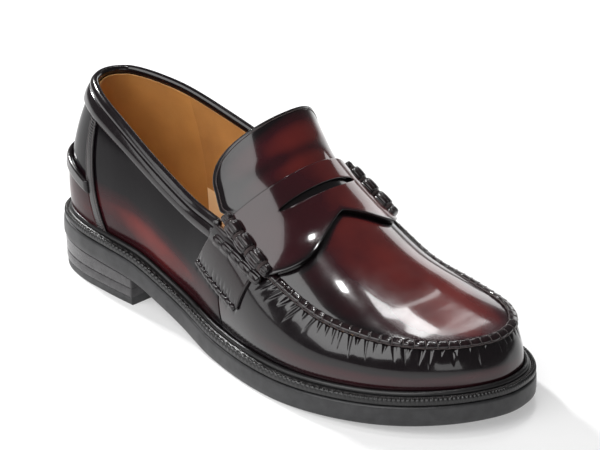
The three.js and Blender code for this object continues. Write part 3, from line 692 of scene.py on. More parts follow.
def build_sole():
    ts = np.linspace(0, LOOP, 540, endpoint=False)
    side = [(2.4, under(0)), (1.1, under(0.15)), (0.35, under(0.6)), (0.05, under(1.4)),
            (0.0, under(3.5)), (0.1, under(6.5)), (0.25, under(OUTSOLE - 1.6)), (0.4, under(OUTSOLE - 0.7)),
            (0.9, under(OUTSOLE - 0.15)), (1.8, over(0))]
    outsole = ring_loft("outsole_rubber", ts, side)
    finish(outsole, RUBBER, "rubber", "outsole")

    # Welt: a flat strip with a wheeled outer edge and a groove that takes the stitches.
    fine = np.linspace(0, LOOP, 2700, endpoint=False)
    wheel_marks = 300
    notch = 0.5 + 0.5 * np.cos(fine / LOOP * 2 * np.pi * wheel_marks)
    rows = [(SEAT + 4, GAP, 0), (1.6, GAP, 0), (0.95, 0.5, 0), (0.7, 1.1, 0), (0.62, WELT - 1.3, 0.25),
            (0.8, WELT - 0.5, 0.55), (1.3, WELT + 0.05, 0.5), (1.8, WELT + 0.12, 0.25), (2.15, WELT - 0.1, 0),
            (2.45, WELT - 0.42, 0), (2.95, WELT - 0.42, 0), (3.25, WELT - 0.1, 0), (3.5, WELT, 0),
            (WELT_SHOWS - 0.5, WELT, 0), (SEAT + 4, WELT, 0)]
    profile_points = []
    for inset, lift, cut in rows:
        edge = sole_edge(fine, inset + 0.5 * cut * notch)
        z = deck(edge[:, 0]) + lift - 0.45 * cut * notch
        profile_points.append(np.concatenate([edge, z[:, None]], -1))
    grid = np.stack(profile_points, 1)
    faces = np.concatenate([grid_faces(*grid.shape[:2], True), close_rows(*grid.shape[:2])])
    finish(make_mesh("storm_welt", grid.reshape(-1, 3), faces), WELT_LEATHER, "welt", "welt")

    # The rounded storm bead that stands up against the upper.
    bead = [(WELT_SHOWS + 1.6, WELT - 0.2), (4.05, WELT - 0.2), (3.85, WELT + 0.25), (3.9, WELT + 0.95),
            (4.25, WELT + 1.7), (4.8, WELT + 2.15), (5.4, WELT + 2.25), (6.0, WELT + 2.0),
            (6.35, WELT + 1.5), (6.45, WELT + 1.0), (WELT_SHOWS + 1.6, WELT + 0.6)]
    bead_profile = [(inset, over(lift)) for inset, lift in bead]
    finish(ring_loft("storm_bead", ts, bead_profile, capped=False), WELT_LEATHER, "welt", "welt_bead")

    def groove(u):
        edge = sole_edge(np.asarray(u) * LOOP, 2.7)
        return np.concatenate([edge, (deck(edge[:, 0]) + WELT - 0.05)[:, None]], -1)

    def upright(u):
        return np.tile([0.0, 0.0, 1.0], (len(u), 1))

    row = stitches("welt_stitches", groove, upright, 190, 3.3, 0.42)
    finish(row, WELT_THREAD, "thread", "welt_thread")


def heel_outline(ts, inset):
    """The back of the sole outline, closed by the straight breast."""
    n = len(ts)
    span = np.linspace(-7.5, 7.5, 4001)
    edge = sole_edge(span, inset)
    inside = edge[edge[:, 0] < HEEL_LENGTH]
    length = np.concatenate([[0], np.cumsum(np.linalg.norm(np.diff(inside, axis=0), axis=1))])
    share = np.linspace(0, length[-1], n - 60)
    curve = np.stack([np.interp(share, length, inside[:, k]) for k in range(2)], -1)
    breast = np.linspace(curve[-1], curve[0], 62)[1:-1]
    breast[:, 0] = HEEL_LENGTH
    return np.concatenate([curve, breast])


def build_heel():
    ts = np.linspace(0, 1, 360)
    layer = (HEEL_HEIGHT * 0.86 - TOP_LIFT) / 2
    middle = TOP_LIFT + layer
    tread = [(2.4, flat(0)), (1.9, flat(0.12)), (1.6, flat(0.5)), (1.5, flat(1.2)),
             (1.5, flat(TOP_LIFT - 0.6)), (1.6, flat(TOP_LIFT - 0.2)), (1.9, flat(TOP_LIFT))]
    finish(ring_loft("heel_tread", ts, tread, outline=heel_outline), RUBBER, "rubber", "heel_top_lift")
    low = [(1.5, flat(TOP_LIFT + 0.05)), (1.15, flat(TOP_LIFT + 0.3)), (1.05, flat(TOP_LIFT + 0.8)),
           (1.1, flat(middle - 0.5)), (1.3, flat(middle - 0.05))]
    lower = ring_loft("heel_block_lower", ts, low, outline=heel_outline)
    finish(lower, STACK, "heel_stack", "heel_lift_lower")
    high = [(1.3, flat(middle + 0.02)), (1.1, flat(middle + 0.4)), (0.95, flat(middle + 1.2)),
            (0.8, under(-0.8)), (0.75, under(-0.05))]
    upper = ring_loft("heel_block_upper", ts, high, outline=heel_outline)
    finish(upper, STACK, "heel_stack", "heel_lift_upper")


def build_insole():
    ts = np.linspace(0, LOOP, 360, endpoint=False)
    board = 2.2
    top = WELT + GAP + board + GAP
    sock = [(SEAT + 0.6, over(top)), (SEAT + 0.1, over(top + 0.2)), (SEAT, over(top + 0.6)),
            (SEAT + 0.5, over(top + 1.0))]
    finish(ring_loft("sock_liner_leather", ts, sock), TAN, "tan_leather", "sock_liner")


# ---- the seam between apron and vamp -------------------------------------------------------------
_seam_t = np.linspace(6.0, 22.0, 3201)
_seam_points = spline(TOP_EDGE, _seam_t)
_seam_arc = np.concatenate([[0], np.cumsum(np.linalg.norm(np.diff(_seam_points, axis=0), axis=1))])
_wall_high = np.linalg.norm(wall_curve(_seam_t, 0.9) - wall_curve(_seam_t, 0.6), axis=1) / 0.3


def seam_arc(t):
    return np.interp(t, _seam_t, _seam_arc)


def seam_station(arc):
    return np.interp(arc, _seam_arc, _seam_t)


rng = np.random.default_rng(23)


def make_gathers():
    """Creases under the seam: place along it, length, depth, slant, width (mm)."""
    start, stop = seam_arc(7.95), seam_arc(20.05)
    places = np.arange(start, stop, 4.2)
    places = places + rng.uniform(-1.4, 1.4, len(places))
    share = (places - start) / (stop - start)
    rows = []
    for place, s in zip(places, share):
        toe = math.exp(-((s - 0.5) / 0.13) ** 2)
        long = 4.5 + 9.5 * rng.random() ** 1.7
        long *= 1.0 - 0.35 * toe
        depth = rng.uniform(0.4, 0.9)
        splay = max(0.0, (s - 0.84) / 0.16) - max(0.0, 1 - s / 0.16)
        slant = rng.uniform(-0.18, 0.18) + 1.1 * splay
        rows.append((place, long, depth, slant, rng.uniform(0.7, 1.35)))
    return rows


GATHERS = make_gathers()


def gather_field(t, h):
    """How deep in a gather each point lies: (relief in mm, darkening 0..1, pooled dye plus painted shade in
    the crease).
    """
    arc = seam_arc(t)
    below = np.maximum(SEAM_TOP - h, -0.05) * np.interp(t, _seam_t, _wall_high)
    relief = np.zeros(arc.shape)
    dye = np.zeros(arc.shape)
    for place, long, depth, slant, width in GATHERS:
        off = arc - place - slant * np.maximum(below, 0)
        fall = np.clip(1 - below / long, 0, 1)
        fall = np.where(below < 0, 1, fall)
        near = np.exp(-np.abs(off / (width * (0.3 + 0.8 * fall ** 1.4))) ** 3)
        relief -= depth * fall ** 0.9 * near
        # Painted shade: each crease is darkened, partly as pooled dye.
        dye = np.maximum(dye, near * np.minimum(fall * 3.5, 1))
        swell = np.exp(-((off - 2.2) / 1.5) ** 2)
        relief += 0.26 * fall * swell
    inside = (t > 7.8) & (t < 20.2)
    return np.where(inside, relief, 0), np.where(inside, dye, 0)


# ---- upper walls ---------------------------------------------------------------------------------
def lacing_field(t, h):
    """Creases pulled towards the hand lacing at the lower edge of each side panel."""
    relief = np.zeros(t.shape)
    dye = np.zeros(t.shape)
    for side in (-1, 1):
        tt = t if side < 0 else LOOP - t
        for a, drop, deep, width in LACING_PULLS:
            t0 = 6.42 + 1.13 * a
            h0 = 0.43 + 0.13 * (1 - a) - 0.02 * math.sin(math.pi * a)
            along_mm = (tt - t0) * 30
            below_mm = (h0 - h) * 60
            off = along_mm + 0.35 * below_mm
            fall = np.clip(1 - below_mm / drop, 0, 1) * (below_mm > -1.5)
            near = np.exp(-(off / width) ** 2)
            relief -= 1.5 * deep * fall * near
            # Painted shade: each pull crease is darkened, partly as pooled dye.
            dye = np.maximum(dye, 0.8 * near * np.minimum(1.6 * fall, 1))
    return relief, dye


# Each pull: place along the lacing (0..1), length, depth and width in mm.
LACING_PULLS = [(a + rng.uniform(-0.03, 0.03), rng.uniform(4, 9), rng.uniform(0.25, 0.6),
                 rng.uniform(0.6, 1.1)) for a in np.linspace(0.02, 0.98, 12)]


def wall_relief(t, h):
    return gather_field(t, h)[0] + lacing_field(t, h)[0]


def wall_dye_and_shade(t, h):
    """Darker near the seams, the sole and the gathers, redder at the middle of each panel. Towards the top
    edge the darkening is a painted dark reflection; in the gathers and lacing creases it is pooled dye and
    painted shade.
    """
    place = np.mod(t, LOOP)
    # Towards the top edge this is a painted dark reflection; towards the sole it just darkens.
    edge = np.where(h > 0.3, smoothstep((h - 0.3) / 0.26) * 0.75, smoothstep((0.3 - h) / 0.3) * 0.3)
    side = np.minimum(place, LOOP - place)
    heel = np.exp(-((side - 5.0) / 1.3) ** 2) * -0.34
    shank = np.exp(-((side - 7.6) / 0.9) ** 2) * 0.38
    toe = np.exp(-((side - 12.5) / 2.5) ** 2) * 0.05
    base = 0.42 + edge + heel + shank + toe
    # pulled: darkening of the gather and lacing creases, pooled dye plus painted shade.
    pulled = np.maximum(gather_field(t, h)[1], lacing_field(t, h)[1])
    return np.clip(base, 0, 1) + 1.1 * pulled


def build_walls():
    vamp = panel("vamp_leather", wall, (VAMP_SEAM + 0.02, LOOP - VAMP_SEAM - 0.02), (0.0, SEAM_TOP),
                 (1250, 62), -LEATHER, 0.0, 0.35, wall_relief, wall_dye_and_shade)
    finish(vamp, OXBLOOD, "oxblood", "vamp")
    for name, a, b, node_name in (
            ("quarter_lateral_leather", BACK_SEAM + 0.01, VAMP_SEAM, "quarter_lateral"),
            ("quarter_medial_leather", LOOP - VAMP_SEAM, LOOP - BACK_SEAM - 0.01, "quarter_medial"),
            ("back_panel_leather", -BACK_SEAM, BACK_SEAM, "back_panel")):
        made = panel(name, wall, (a, b), (0.0, 0.93), (300, 60), -LEATHER, 0.0, 0.3, wall_relief, wall_dye_and_shade)
        finish(made, QUARTER, "oxblood", node_name)

    def dark(t, h):
        return np.full(t.shape, 0.75)

    def drooping(t, h, lift):
        low = LEDGE_DROP * (t / BACK_SEAM) ** 2 * np.minimum(h / FOXING_TOP, 1)
        return wall(t, h - low, lift)

    foxing = panel("heel_foxing_leather", drooping, (-2.85, 2.85), (0.0, 0.385), (220, 26), 0.05, 1.5, 0.6,
                   dye_and_shade=lambda t, h: 0.35 + 0.5 * np.abs(h - 0.2) * 2)
    finish(foxing, QUARTER, "oxblood", "heel_foxing")
    ledge = panel("heel_ledge_strip", drooping, (-2.86, 2.86), (0.352, 0.445), (220, 16), 0.1, 3.1, 1.4,
                  relief=lambda t, h: 0.08 * np.sin(t * 95), dye_and_shade=dark)
    finish(ledge, DARK, "dark_leather", "heel_ledge")
    for side, name in ((1, "lateral"), (-1, "medial")):
        a, b = sorted((side * 2.79, side * 3.11))
        strip = panel(f"back_strip_{name}_leather", wall, (a, b), (0.0, 0.85), (20, 220), 0.05, 1.45, 0.5,
                      relief=lambda t, h: -0.22 * np.exp(-((np.abs(np.abs(t) - 2.95) - 0.1) / 0.018) ** 2)
                      + 0.05 * np.sin(h * 330), dye_and_shade=dark)
        finish(strip, DARK, "dark_leather", f"back_strip_{name}")
        for k, place in enumerate((2.85, 3.05)):
            path = strip_path(side * place)
            row = stitches(f"back_strip_{name}_stitches_{k + 1}", path,
                           lambda u, p=side * place: outward_of_wall(np.full(len(u), p), 0.02 + 0.81 * u),
                           34, 1.7, 0.26)
            finish(row, THREAD, "thread")
    collar = panel("collar_band", wall, (-6.8, 6.8), (0.838, 0.945), (560, 16), 0.05, 1.7, 0.8,
                   relief=lambda t, h: 0.5 * np.clip(1 - ((h - 0.89) / 0.055) ** 2, 0, 1),
                   dye_and_shade=lambda t, h: 0.8 + 0.3 * np.abs(h - 0.88) / 0.05)
    finish(collar, OXBLOOD, "oxblood", "collar")
    for k, (level, lift) in enumerate(((0.851, 1.55), (0.824, 0.02))):
        def path(u, level=level, lift=lift):
            return wall(-6.6 + 13.2 * np.asarray(u), np.full(np.shape(u), level), np.full(np.shape(u), lift))
        row = stitches(f"collar_stitches_{k + 1}", path,
                       lambda u, level=level: outward_of_wall(-6.6 + 13.2 * u, np.full(len(u), level)),
                       165, STITCH_LENGTH, STITCH_THICK)
        finish(row, THREAD, "thread")
    build_collar_roll()
    build_linings()


def strip_path(t):
    def path(u):
        u = np.asarray(u)
        return wall(np.full(u.shape, t), 0.02 + 0.81 * u, np.full(u.shape, 1.3))
    return path


def outward_of_wall(t, h):
    return wall(t, h, np.ones(np.shape(t))) - wall(t, h, np.zeros(np.shape(t)))


def build_collar_roll():
    reach, sink, radius = 6.85, 0.945, 2.45

    def path(u):
        t = -reach + 2 * reach * np.asarray(u)
        return wall(t, np.full(t.shape, sink), np.full(t.shape, -1.15)) + np.array([0, 0, radius - 0.3])

    def outward(u):
        return outward_of_wall(-reach + 2 * reach * u, np.full(np.shape(u), sink))

    us = np.linspace(0, 1, 420)
    centre, _, across, up = frames_along(path, outward, us)
    ends = np.sqrt(np.clip(1 - (np.clip(np.abs(us - 0.5) * 2 - 0.985, 0, 1) / 0.015) ** 2, 0.05, 1))
    roll = tube_mesh("collar_binding", centre, across, up, radius * 1.25 * ends, radius * 0.95 * ends, 24,
                     dye_and_shade=np.ones(24 * len(us)))
    finish(roll, DARK, "dark_leather", "collar_roll")


def lighter_lining_foot(t, h):
    """Lighter at the foot of the lining, below a share of 0.27 of the wall, from station 8 on."""
    return -0.9 * smoothstep((0.27 - h) / 0.03) * (t > 8)


def build_linings():
    heel_end, front_end = 4.0, 8.5
    for name, a, b, node_name, material, slot in (
            ("heel_lining_leather_sheet", -heel_end, heel_end, "heel_lining", HEEL_LINING,
             "tan_leather"),
            ("quarter_lining_lateral_sheet", heel_end, front_end, "quarter_lining_lateral", LINING,
             "lining_leather"),
            ("quarter_lining_medial_sheet", LOOP - front_end, LOOP - heel_end,
             "quarter_lining_medial", LINING, "lining_leather"),
            ("vamp_lining_sheet", front_end, LOOP - front_end, "vamp_lining", LINING,
             "lining_leather")):
        made = panel(name, wall, (a, b), (0.0, 0.965), (180, 60), LINING_OUT, LINING_IN, 0.1,
                     dye_and_shade=lighter_lining_foot)
        finish(made, material, slot, node_name)


# ---- seam ridge, apron ---------------------------------------------------------------------------
def seam_at(arc_share):
    first, last = seam_arc(SEAM_FROM), seam_arc(SEAM_TO)
    return seam_station(first + (last - first) * np.asarray(arc_share))


def seam_path(arc_share, sway=0.0, lift=0.0):
    t = seam_at(arc_share)
    edge = spline(TOP_EDGE, t)
    up = seam_up(arc_share)
    ahead = unit(spline(TOP_EDGE, t + 0.01) - spline(TOP_EDGE, t - 0.01))
    inward = unit(np.cross(up, ahead))
    sway = np.broadcast_to(np.asarray(sway, float), t.shape)[..., None]
    lift = np.broadcast_to(np.asarray(lift, float), t.shape)[..., None]
    return edge + inward * sway + up * lift


def seam_up(arc_share):
    t = seam_at(arc_share)
    out = outward_of_wall(t, np.full(t.shape, 0.9))
    return unit(out * 0.55 + np.array([0.0, 0.0, 0.8]))


def build_seam():
    us = np.linspace(0, 1, SEAM_STITCHES * 14 + 1)
    centre, ahead, across, up = frames_along(lambda u: seam_path(u, 0.1, 0.55), seam_up, us, 2e-3)
    lobe = np.abs(np.sin(np.pi * SEAM_STITCHES * us)) ** 0.3
    size = 0.84 + 0.16 * lobe
    wobble = 1 + 0.05 * np.sin(us * 311) * np.sin(us * 97)

    def section(angle):
        square = 1 / (np.abs(np.cos(angle)) ** 3.2 + np.abs(np.sin(angle)) ** 3.2) ** (1 / 3.2)
        crease = 1 - 0.16 * np.exp(-((np.mod(angle - np.pi * 0.33, 2 * np.pi)) / 0.16) ** 2)
        return np.tile(square * crease, (len(us), 1))

    # Painted shade: the ridge is darker in the pinches between its lobes.
    ridge = tube_mesh("apron_seam_ridge", centre, across, up, 2.15 * size * wobble, 1.3 * size * wobble, 20,
                      shape=section, dye_and_shade=np.repeat(0.45 + 0.55 * (1 - lobe) ** 0.6, 20))
    finish(ridge, DARK, "dark_leather", "apron_seam")

    # Waxed thread: one wrap over the ridge at each stitch, and a twisted cord along each side.
    places = np.arange(0, SEAM_STITCHES + 1) / SEAM_STITCHES
    centre, ahead, across, up = frames_along(lambda u: seam_path(u, 0.1, 0.5), seam_up, places, 2e-3)
    arc = np.linspace(-0.35, math.pi + 0.35, 11)
    half_wide, half_high, slant = 1.95, 1.35, 0.45
    curves = []
    for k in range(len(places)):
        curve = []
        for a in arc:
            radial = across[k] * math.cos(a) * half_wide + up[k] * math.sin(a) * half_high
            away = unit(across[k] * math.cos(a) / half_wide + up[k] * math.sin(a) / half_high)
            curve.append((centre[k] + radial + ahead[k] * slant * math.cos(a), away, ahead[k]))
        curves.append(curve)
    wraps = strands("apron_seam_wraps", curves, 0.30, 6)
    finish(wraps, THREAD, "thread", "apron_thread")

    for sway, name, size in ((2.25, "inner", 0.34), (-2.15, "outer", 0.26)):
        us = np.linspace(0, 1, SEAM_STITCHES * 8 + 1)
        phase = us * SEAM_STITCHES * 2 * np.pi
        centre, _, across, up = frames_along(
            lambda u, sway=sway: seam_path(u, sway, 0.42), seam_up, us, 2e-3)
        centre = centre + across * (0.1 * np.cos(phase))[:, None] + up * (0.08 * np.sin(phase))[:, None]
        radius = size * (0.94 + 0.1 * np.abs(np.sin(phase / 2)))
        cord = tube_mesh(f"apron_seam_cord_{name}", centre, across, up, radius, radius, 8)
        finish(cord, THREAD, "thread")


def build_apron():
    back = np.linspace(5.35, 0, 150)
    turn = np.linspace(0, 1, 60)
    q = np.concatenate([back[:-1], -0.5 + 0.5 * (1 - turn) ** 1.3])
    rim = np.linspace(0.9, 1, 8)[1:]
    u = np.concatenate([-rim[::-1], np.linspace(-0.9, 0.9, 110), rim])
    q_grid, u_grid = np.meshgrid(q, u * 0.985, indexing="ij")
    q_grid = np.maximum(q_grid, -0.492)
    edge = np.clip((np.abs(u_grid) - 0.9) / 0.085, 0, 1)
    lift = 0.1 - 0.15 * edge
    upper = sheet(q_grid, u_grid, lift)
    lower = sheet(q_grid, u_grid, np.full(q_grid.shape, -LEATHER))
    r = np.abs(u_grid)
    tint = 0.1 + 0.75 * np.clip((r - 0.35) / 0.62, 0, 1) ** 1.5
    tint = tint + 0.6 * np.clip((1.6 - q_grid) / 2.1, 0, 1) ** 1.5
    tint = tint + 0.35 * np.exp(-((u_grid + 0.55) / 0.3) ** 2) * np.clip((q_grid - 2) / 2, 0, 1)
    # Painted shade: just ahead of the saddle strap's front edge and under the strap the apron is painted
    # dark.
    tint = tint + 1.2 * np.clip((q_grid - saddle_front(u_grid) + 0.12) / 0.12, 0, 1)
    tint = np.clip(tint, 0, 1.3)
    points = np.concatenate([upper.reshape(-1, 3), lower.reshape(-1, 3)])
    made = make_mesh("apron_leather", points, slab_faces(*q_grid.shape), np.concatenate([tint.ravel()] * 2))
    finish(made, OXBLOOD, "oxblood", "apron")


# ---- saddle strap --------------------------------------------------------------------------------
def saddle_front(u):
    r = np.minimum(np.abs(u), 1)
    return 4.96 - 0.36 * np.sin(np.pi * r ** 1.2)


def slit_half(u):
    return 3.7 / RIB_SPACING / 2 * np.sqrt(np.clip(1 - (u / 0.55) ** 2, 0, 1))


def slit_middle(u):
    return 5.5 + 0.12 * u * u


def build_saddle():
    radius, rib = 0.5, RIB_SPACING
    outer = np.linspace(0.6, 0.99, 40)[1:]
    us = np.concatenate([-outer[::-1], np.linspace(-0.6, 0.6, 181), outer])
    rim = radius * EDGE_STEPS
    sections = []
    for u in us:
        front, mid, half = saddle_front(u), slit_middle(u), slit_half(u)
        low_edge, high_edge = (mid - half - front) * rib, (SADDLE_BACK - mid - half) * rib
        a = np.concatenate([rim, np.linspace(rim[-1], low_edge - rim[-1], 24)[1:-1], low_edge - rim[::-1]])
        b = np.concatenate([rim, np.linspace(rim[-1], high_edge - rim[-1], 20)[1:-1], high_edge - rim[::-1]])
        opened = float(np.clip(half * rib / 0.8, 0, 1))
        near_a = np.stack([a, np.where(opened > 0, (low_edge - a) / max(opened, 1e-3), 9)]).min(0)
        near_b = np.stack([np.where(opened > 0, b / max(opened, 1e-3), 9), high_edge - b]).min(0)
        q = np.concatenate([front + a / rib, mid + half + b / rib])
        sections.append((q, np.concatenate([near_a, near_b]), np.concatenate([a, b + 30])))
    q_grid = np.array([s[0] for s in sections])
    near = np.clip(np.array([s[1] for s in sections]), 0, radius)
    from_front = np.array([s[2] for s in sections])
    u_grid = np.broadcast_to(us[:, None], q_grid.shape)
    roll = radius - np.sqrt(np.maximum(radius ** 2 - (radius - near) ** 2, 0))
    stand = (1.1 + 0.9 * smoothstep(0.1 - u_grid * 1.5)) * np.exp(-from_front / 9)
    upper = sheet(q_grid, u_grid, 2.3 + stand - roll)
    lower = sheet(q_grid, u_grid, 0.35 + stand * 0.35)
    n, m = q_grid.shape
    split = 24 - 2 + 2 * len(EDGE_STEPS)
    faces = []
    for first, last in ((0, split), (split, m)):
        part = slab_faces(n, last - first)
        skin, inner = divmod(part, n * (last - first))
        column, row = divmod(inner, last - first)
        moved = skin * n * m + column * m + row + first
        shut = np.abs(us[column]).min(axis=1) > 0.552
        wall_side = (row.max(axis=1) == row.min(axis=1)) & (skin.max(axis=1) != skin.min(axis=1))
        at_slit = row[:, 0] == (last - first - 1 if first == 0 else 0)
        faces.append(moved[~(wall_side & at_slit & shut)])
    dye = 0.02 + 0.4 * smoothstep((0.3 - u_grid) / 0.8) + 0.3 * smoothstep((u_grid - 0.7) / 0.3)
    # Painted shade: darker at the front edge, as the gap shadow under the strap's edge, and round every
    # rounded edge.
    dye = dye + 0.6 * np.exp(-from_front / 1.2)
    dye = dye + 0.7 * np.exp(-near * 3.5)
    points = np.concatenate([upper.reshape(-1, 3), lower.reshape(-1, 3)])
    dyes = np.concatenate([dye.ravel()] * 2)
    made = make_mesh("saddle_strap_leather", points, np.concatenate(faces), dyes, weld=True)
    finish(made, OXBLOOD, "oxblood", "saddle_strap")


def tongue_reach(q, v):
    """How far the tongue goes out across the foot: its top corner is rounder on the inner side."""
    c = np.clip((q - TONGUE_CORNER) / (TONGUE_END - TONGUE_CORNER), 0, 1)
    flare = smoothstep((q - 5.85) / 0.5)
    outer = 0.2 + (0.74 + 0.12 * flare) * np.sqrt(np.clip(1 - c ** 2.4, 0, 1))
    inner = (0.94 + 0.06 * flare) * np.sqrt(np.clip(1 - c ** 1.7, 0, 1))
    return np.where(v < 0, outer, inner)


def tongue_sheet(name, q_from, q_end, low, high, trim, dye=True):
    top = np.sin(np.pi / 2 * np.linspace(0, 1, 46))
    below_corner = np.linspace(q_from, TONGUE_CORNER, 70)[:-1]
    q = np.concatenate([below_corner, TONGUE_CORNER + (q_end - TONGUE_CORNER) * top])
    rim = 1 - 0.014 * EDGE_STEPS
    v = np.concatenate([-rim, np.linspace(-0.985, 0.985, 90)[1:-1], rim[::-1]])
    q_grid, v_grid = np.meshgrid(q, v, indexing="ij")
    stretch = (TONGUE_END - TONGUE_CORNER) / (q_end - TONGUE_CORNER)
    stretched = TONGUE_CORNER + (q_grid - TONGUE_CORNER) * stretch
    reach = tongue_reach(stretched, v_grid) - trim
    u_grid = v_grid * reach
    side_mm = (1 - np.abs(v_grid)) * reach * 38
    top_mm = (q_end - q_grid) * 14
    radius = 0.6
    near = np.clip(np.minimum(side_mm, top_mm + 0.02), 0, radius)
    roll = radius - np.sqrt(np.maximum(radius ** 2 - (radius - near) ** 2, 0))
    sag = -0.35 * np.exp(-((np.minimum(side_mm, top_mm) - 1.9) / 0.55) ** 2) if dye else 0
    upper = sheet(q_grid, u_grid, high - roll + sag)
    lower = sheet(q_grid, u_grid, np.full(q_grid.shape, float(low)))
    tint = 0.1 + 0.55 * np.exp(-np.minimum(side_mm, top_mm) / 4.5)
    tint = tint + 0.28 * np.clip((np.abs(v_grid) - 0.5) / 0.5, 0, 1)
    tint = tint + 0.25 * np.exp(-((q_grid - 6.55) / 0.25) ** 2)
    # Painted shade: below q 5.98, under the saddle strap, the tongue is painted dark; towards the top it
    # darkens a little.
    tint = tint + 1.2 * np.clip((5.98 - q_grid) / 0.08, 0, 1) + 0.3 * smoothstep((q_grid - 7.2) / 0.6)
    tint = tint + 0.3 * smoothstep((-v_grid - 0.1) / 0.5)
    points = np.concatenate([upper.reshape(-1, 3), lower.reshape(-1, 3)])
    tint = np.clip(tint, 0, 1.3).ravel()
    return make_mesh(name, points, slab_faces(*q_grid.shape), np.concatenate([tint, tint]))


def build_tongue():
    flap = tongue_sheet("tongue_leather", 5.05, TONGUE_END, -LEATHER, 0.0, 0.0)
    flap.data.materials.append(OXBLOOD)
    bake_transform(flap)
    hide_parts("tongue_base", "tongue_flap")
    backing = tongue_sheet("tongue_backing", 5.9, TONGUE_END - 0.03, -2.75, -1.35, 0.012, dye=False)
    backing.data.materials.append(LINING)
    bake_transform(backing)
    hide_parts("tongue_lining")

    def path(u):
        a = math.pi * (np.asarray(u) - 0.5) * 2
        # Down each side the row follows the edge, over the top it follows the rounded end.
        side = np.sign(a)
        c = np.clip((1 - np.abs(a) / math.pi) * 2, 0, 2)
        angle = np.clip(c - 1, 0, 1) * math.pi / 2
        q_side = 6.0 + 0.9 * np.clip(c, 0, 1)
        q_round = TONGUE_CORNER + (TONGUE_END - 0.12 - TONGUE_CORNER) * np.sin(angle)
        q = np.where(c < 1, q_side, q_round)
        q_edge = TONGUE_CORNER + (TONGUE_END - TONGUE_CORNER) * np.sin(angle)
        spread = np.where(c < 1, q_side, q_edge)
        reach = np.maximum(tongue_reach(spread, side) - 0.045, 0)
        across = np.where(c >= 1.94, reach * (2 - c) / 0.06, reach)
        return sheet(q, side * across, np.full(q.shape, 0.05))

    def outward(u):
        return path(u) - np.array([150.0, 3.0, 70.0])

    row = even_stitches("tongue_stitches", path, outward, 120, STITCH_LENGTH, STITCH_THICK)
    row.data.materials.append(THREAD)
    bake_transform(row)


def even_stitches(name, path, outward, count, length, thick):
    """A row of stitches spaced evenly along a path whose parameter isn't even."""
    u = np.linspace(0.002, 0.998, 2000)
    steps = np.linalg.norm(np.diff(path(u), axis=0), axis=1)
    along = np.concatenate([[0], np.cumsum(steps)])
    shares = (np.arange(count) + 0.5) / count
    places = np.interp(shares * along[-1], along, u)

    def at(v):
        return np.interp(v, shares, places)

    return stitches(name, lambda v: path(at(v)), lambda v: outward(at(v)), count, length, thick)


# ---- side panels, lacing and beef rolls ----------------------------------------------------------
def side_point(side):
    def surface(a, b, lift):
        t = 6.42 + 1.13 * a + (0.42 - 0.16 * a) * b
        foot = 0.43 + 0.13 * (1 - a) - 0.02 * np.sin(np.pi * a)
        h = foot + (0.995 - foot) * b
        return wall(t if side < 0 else LOOP - t, h, lift)
    return surface


def build_side(side, name):
    surface = side_point(side)

    def relief(a, b):
        pulls = np.zeros(a.shape)
        for place, drop, deep, width in LACING_PULLS:
            near = np.exp(-((a - place - 0.03 + 0.1 * b) / (width * 0.022)) ** 2)
            pulls -= 0.8 * deep * near * np.clip(1 - b * 26 / drop, 0, 1)
        hollow = -0.35 * np.exp(-((b - 0.8) / 0.1) ** 2)
        over_collar = 1.35 * smoothstep((b - 0.62) / 0.2) * smoothstep((0.62 - a) / 0.35)
        return pulls + hollow + over_collar

    # Painted shade: darker at the foot beside the lacing ridge and in the hollow at b = 0.8.
    def dye(a, b):
        return 0.62 + 0.3 * np.exp(-b * 5) + 0.4 * np.exp(-((b - 0.8) / 0.12) ** 2)

    made = panel(f"side_panel_{name}", surface, (0.0, 1.0), (0.0, 1.0), (150, 150), 0.1, 1.75, 0.8,
                 relief, dye)
    finish(made, DARK, "dark_leather", f"strap_side_{name}")

    count = 9
    us = np.linspace(0, 1, count * 14 + 1)

    def path(u):
        u = np.asarray(u)
        return surface(0.01 + 0.97 * u, np.full(u.shape, -0.01), np.full(u.shape, 1.5))

    def outward(u):
        u = np.asarray(u)
        foot = np.zeros(u.shape)
        return surface(u, foot, np.ones(u.shape)) - surface(u, foot, np.zeros(u.shape))

    centre, _, across, up = frames_along(path, outward, us, 2e-3)
    lobe = np.abs(np.sin(np.pi * count * us)) ** 0.4
    ends = np.sqrt(np.clip(1 - (np.clip(np.abs(us - 0.5) * 2 - 0.96, 0, 1) / 0.04) ** 2, 0.1, 1))
    size = (0.68 + 0.32 * lobe) * ends
    # Painted shade: the ridge is darker between its lobes.
    ridge = tube_mesh(f"side_lacing_ridge_{name}", centre, across, up, 1.9 * size, 1.5 * size, 14,
                      dye_and_shade=np.repeat(1 - 0.3 * lobe, 14))
    finish(ridge, DARK, "dark_leather", f"side_lacing_{name}")
    row = stitches(f"side_lacing_wraps_{name}", lambda u: path(u) + outward(u) * 0.75, outward,
                   count + 1, 3.6, 0.5, tilt=4.0)
    finish(row, THREAD, "thread")


def roll_path(side, u, lift):
    q = SADDLE_FRONT - 0.02 + (SADDLE_BACK + 0.08 - SADDLE_FRONT) * np.asarray(u)
    out = unit(np.array([0.28, 0.72 * side, 0.64]))
    return rib_end(q, side) + out * lift


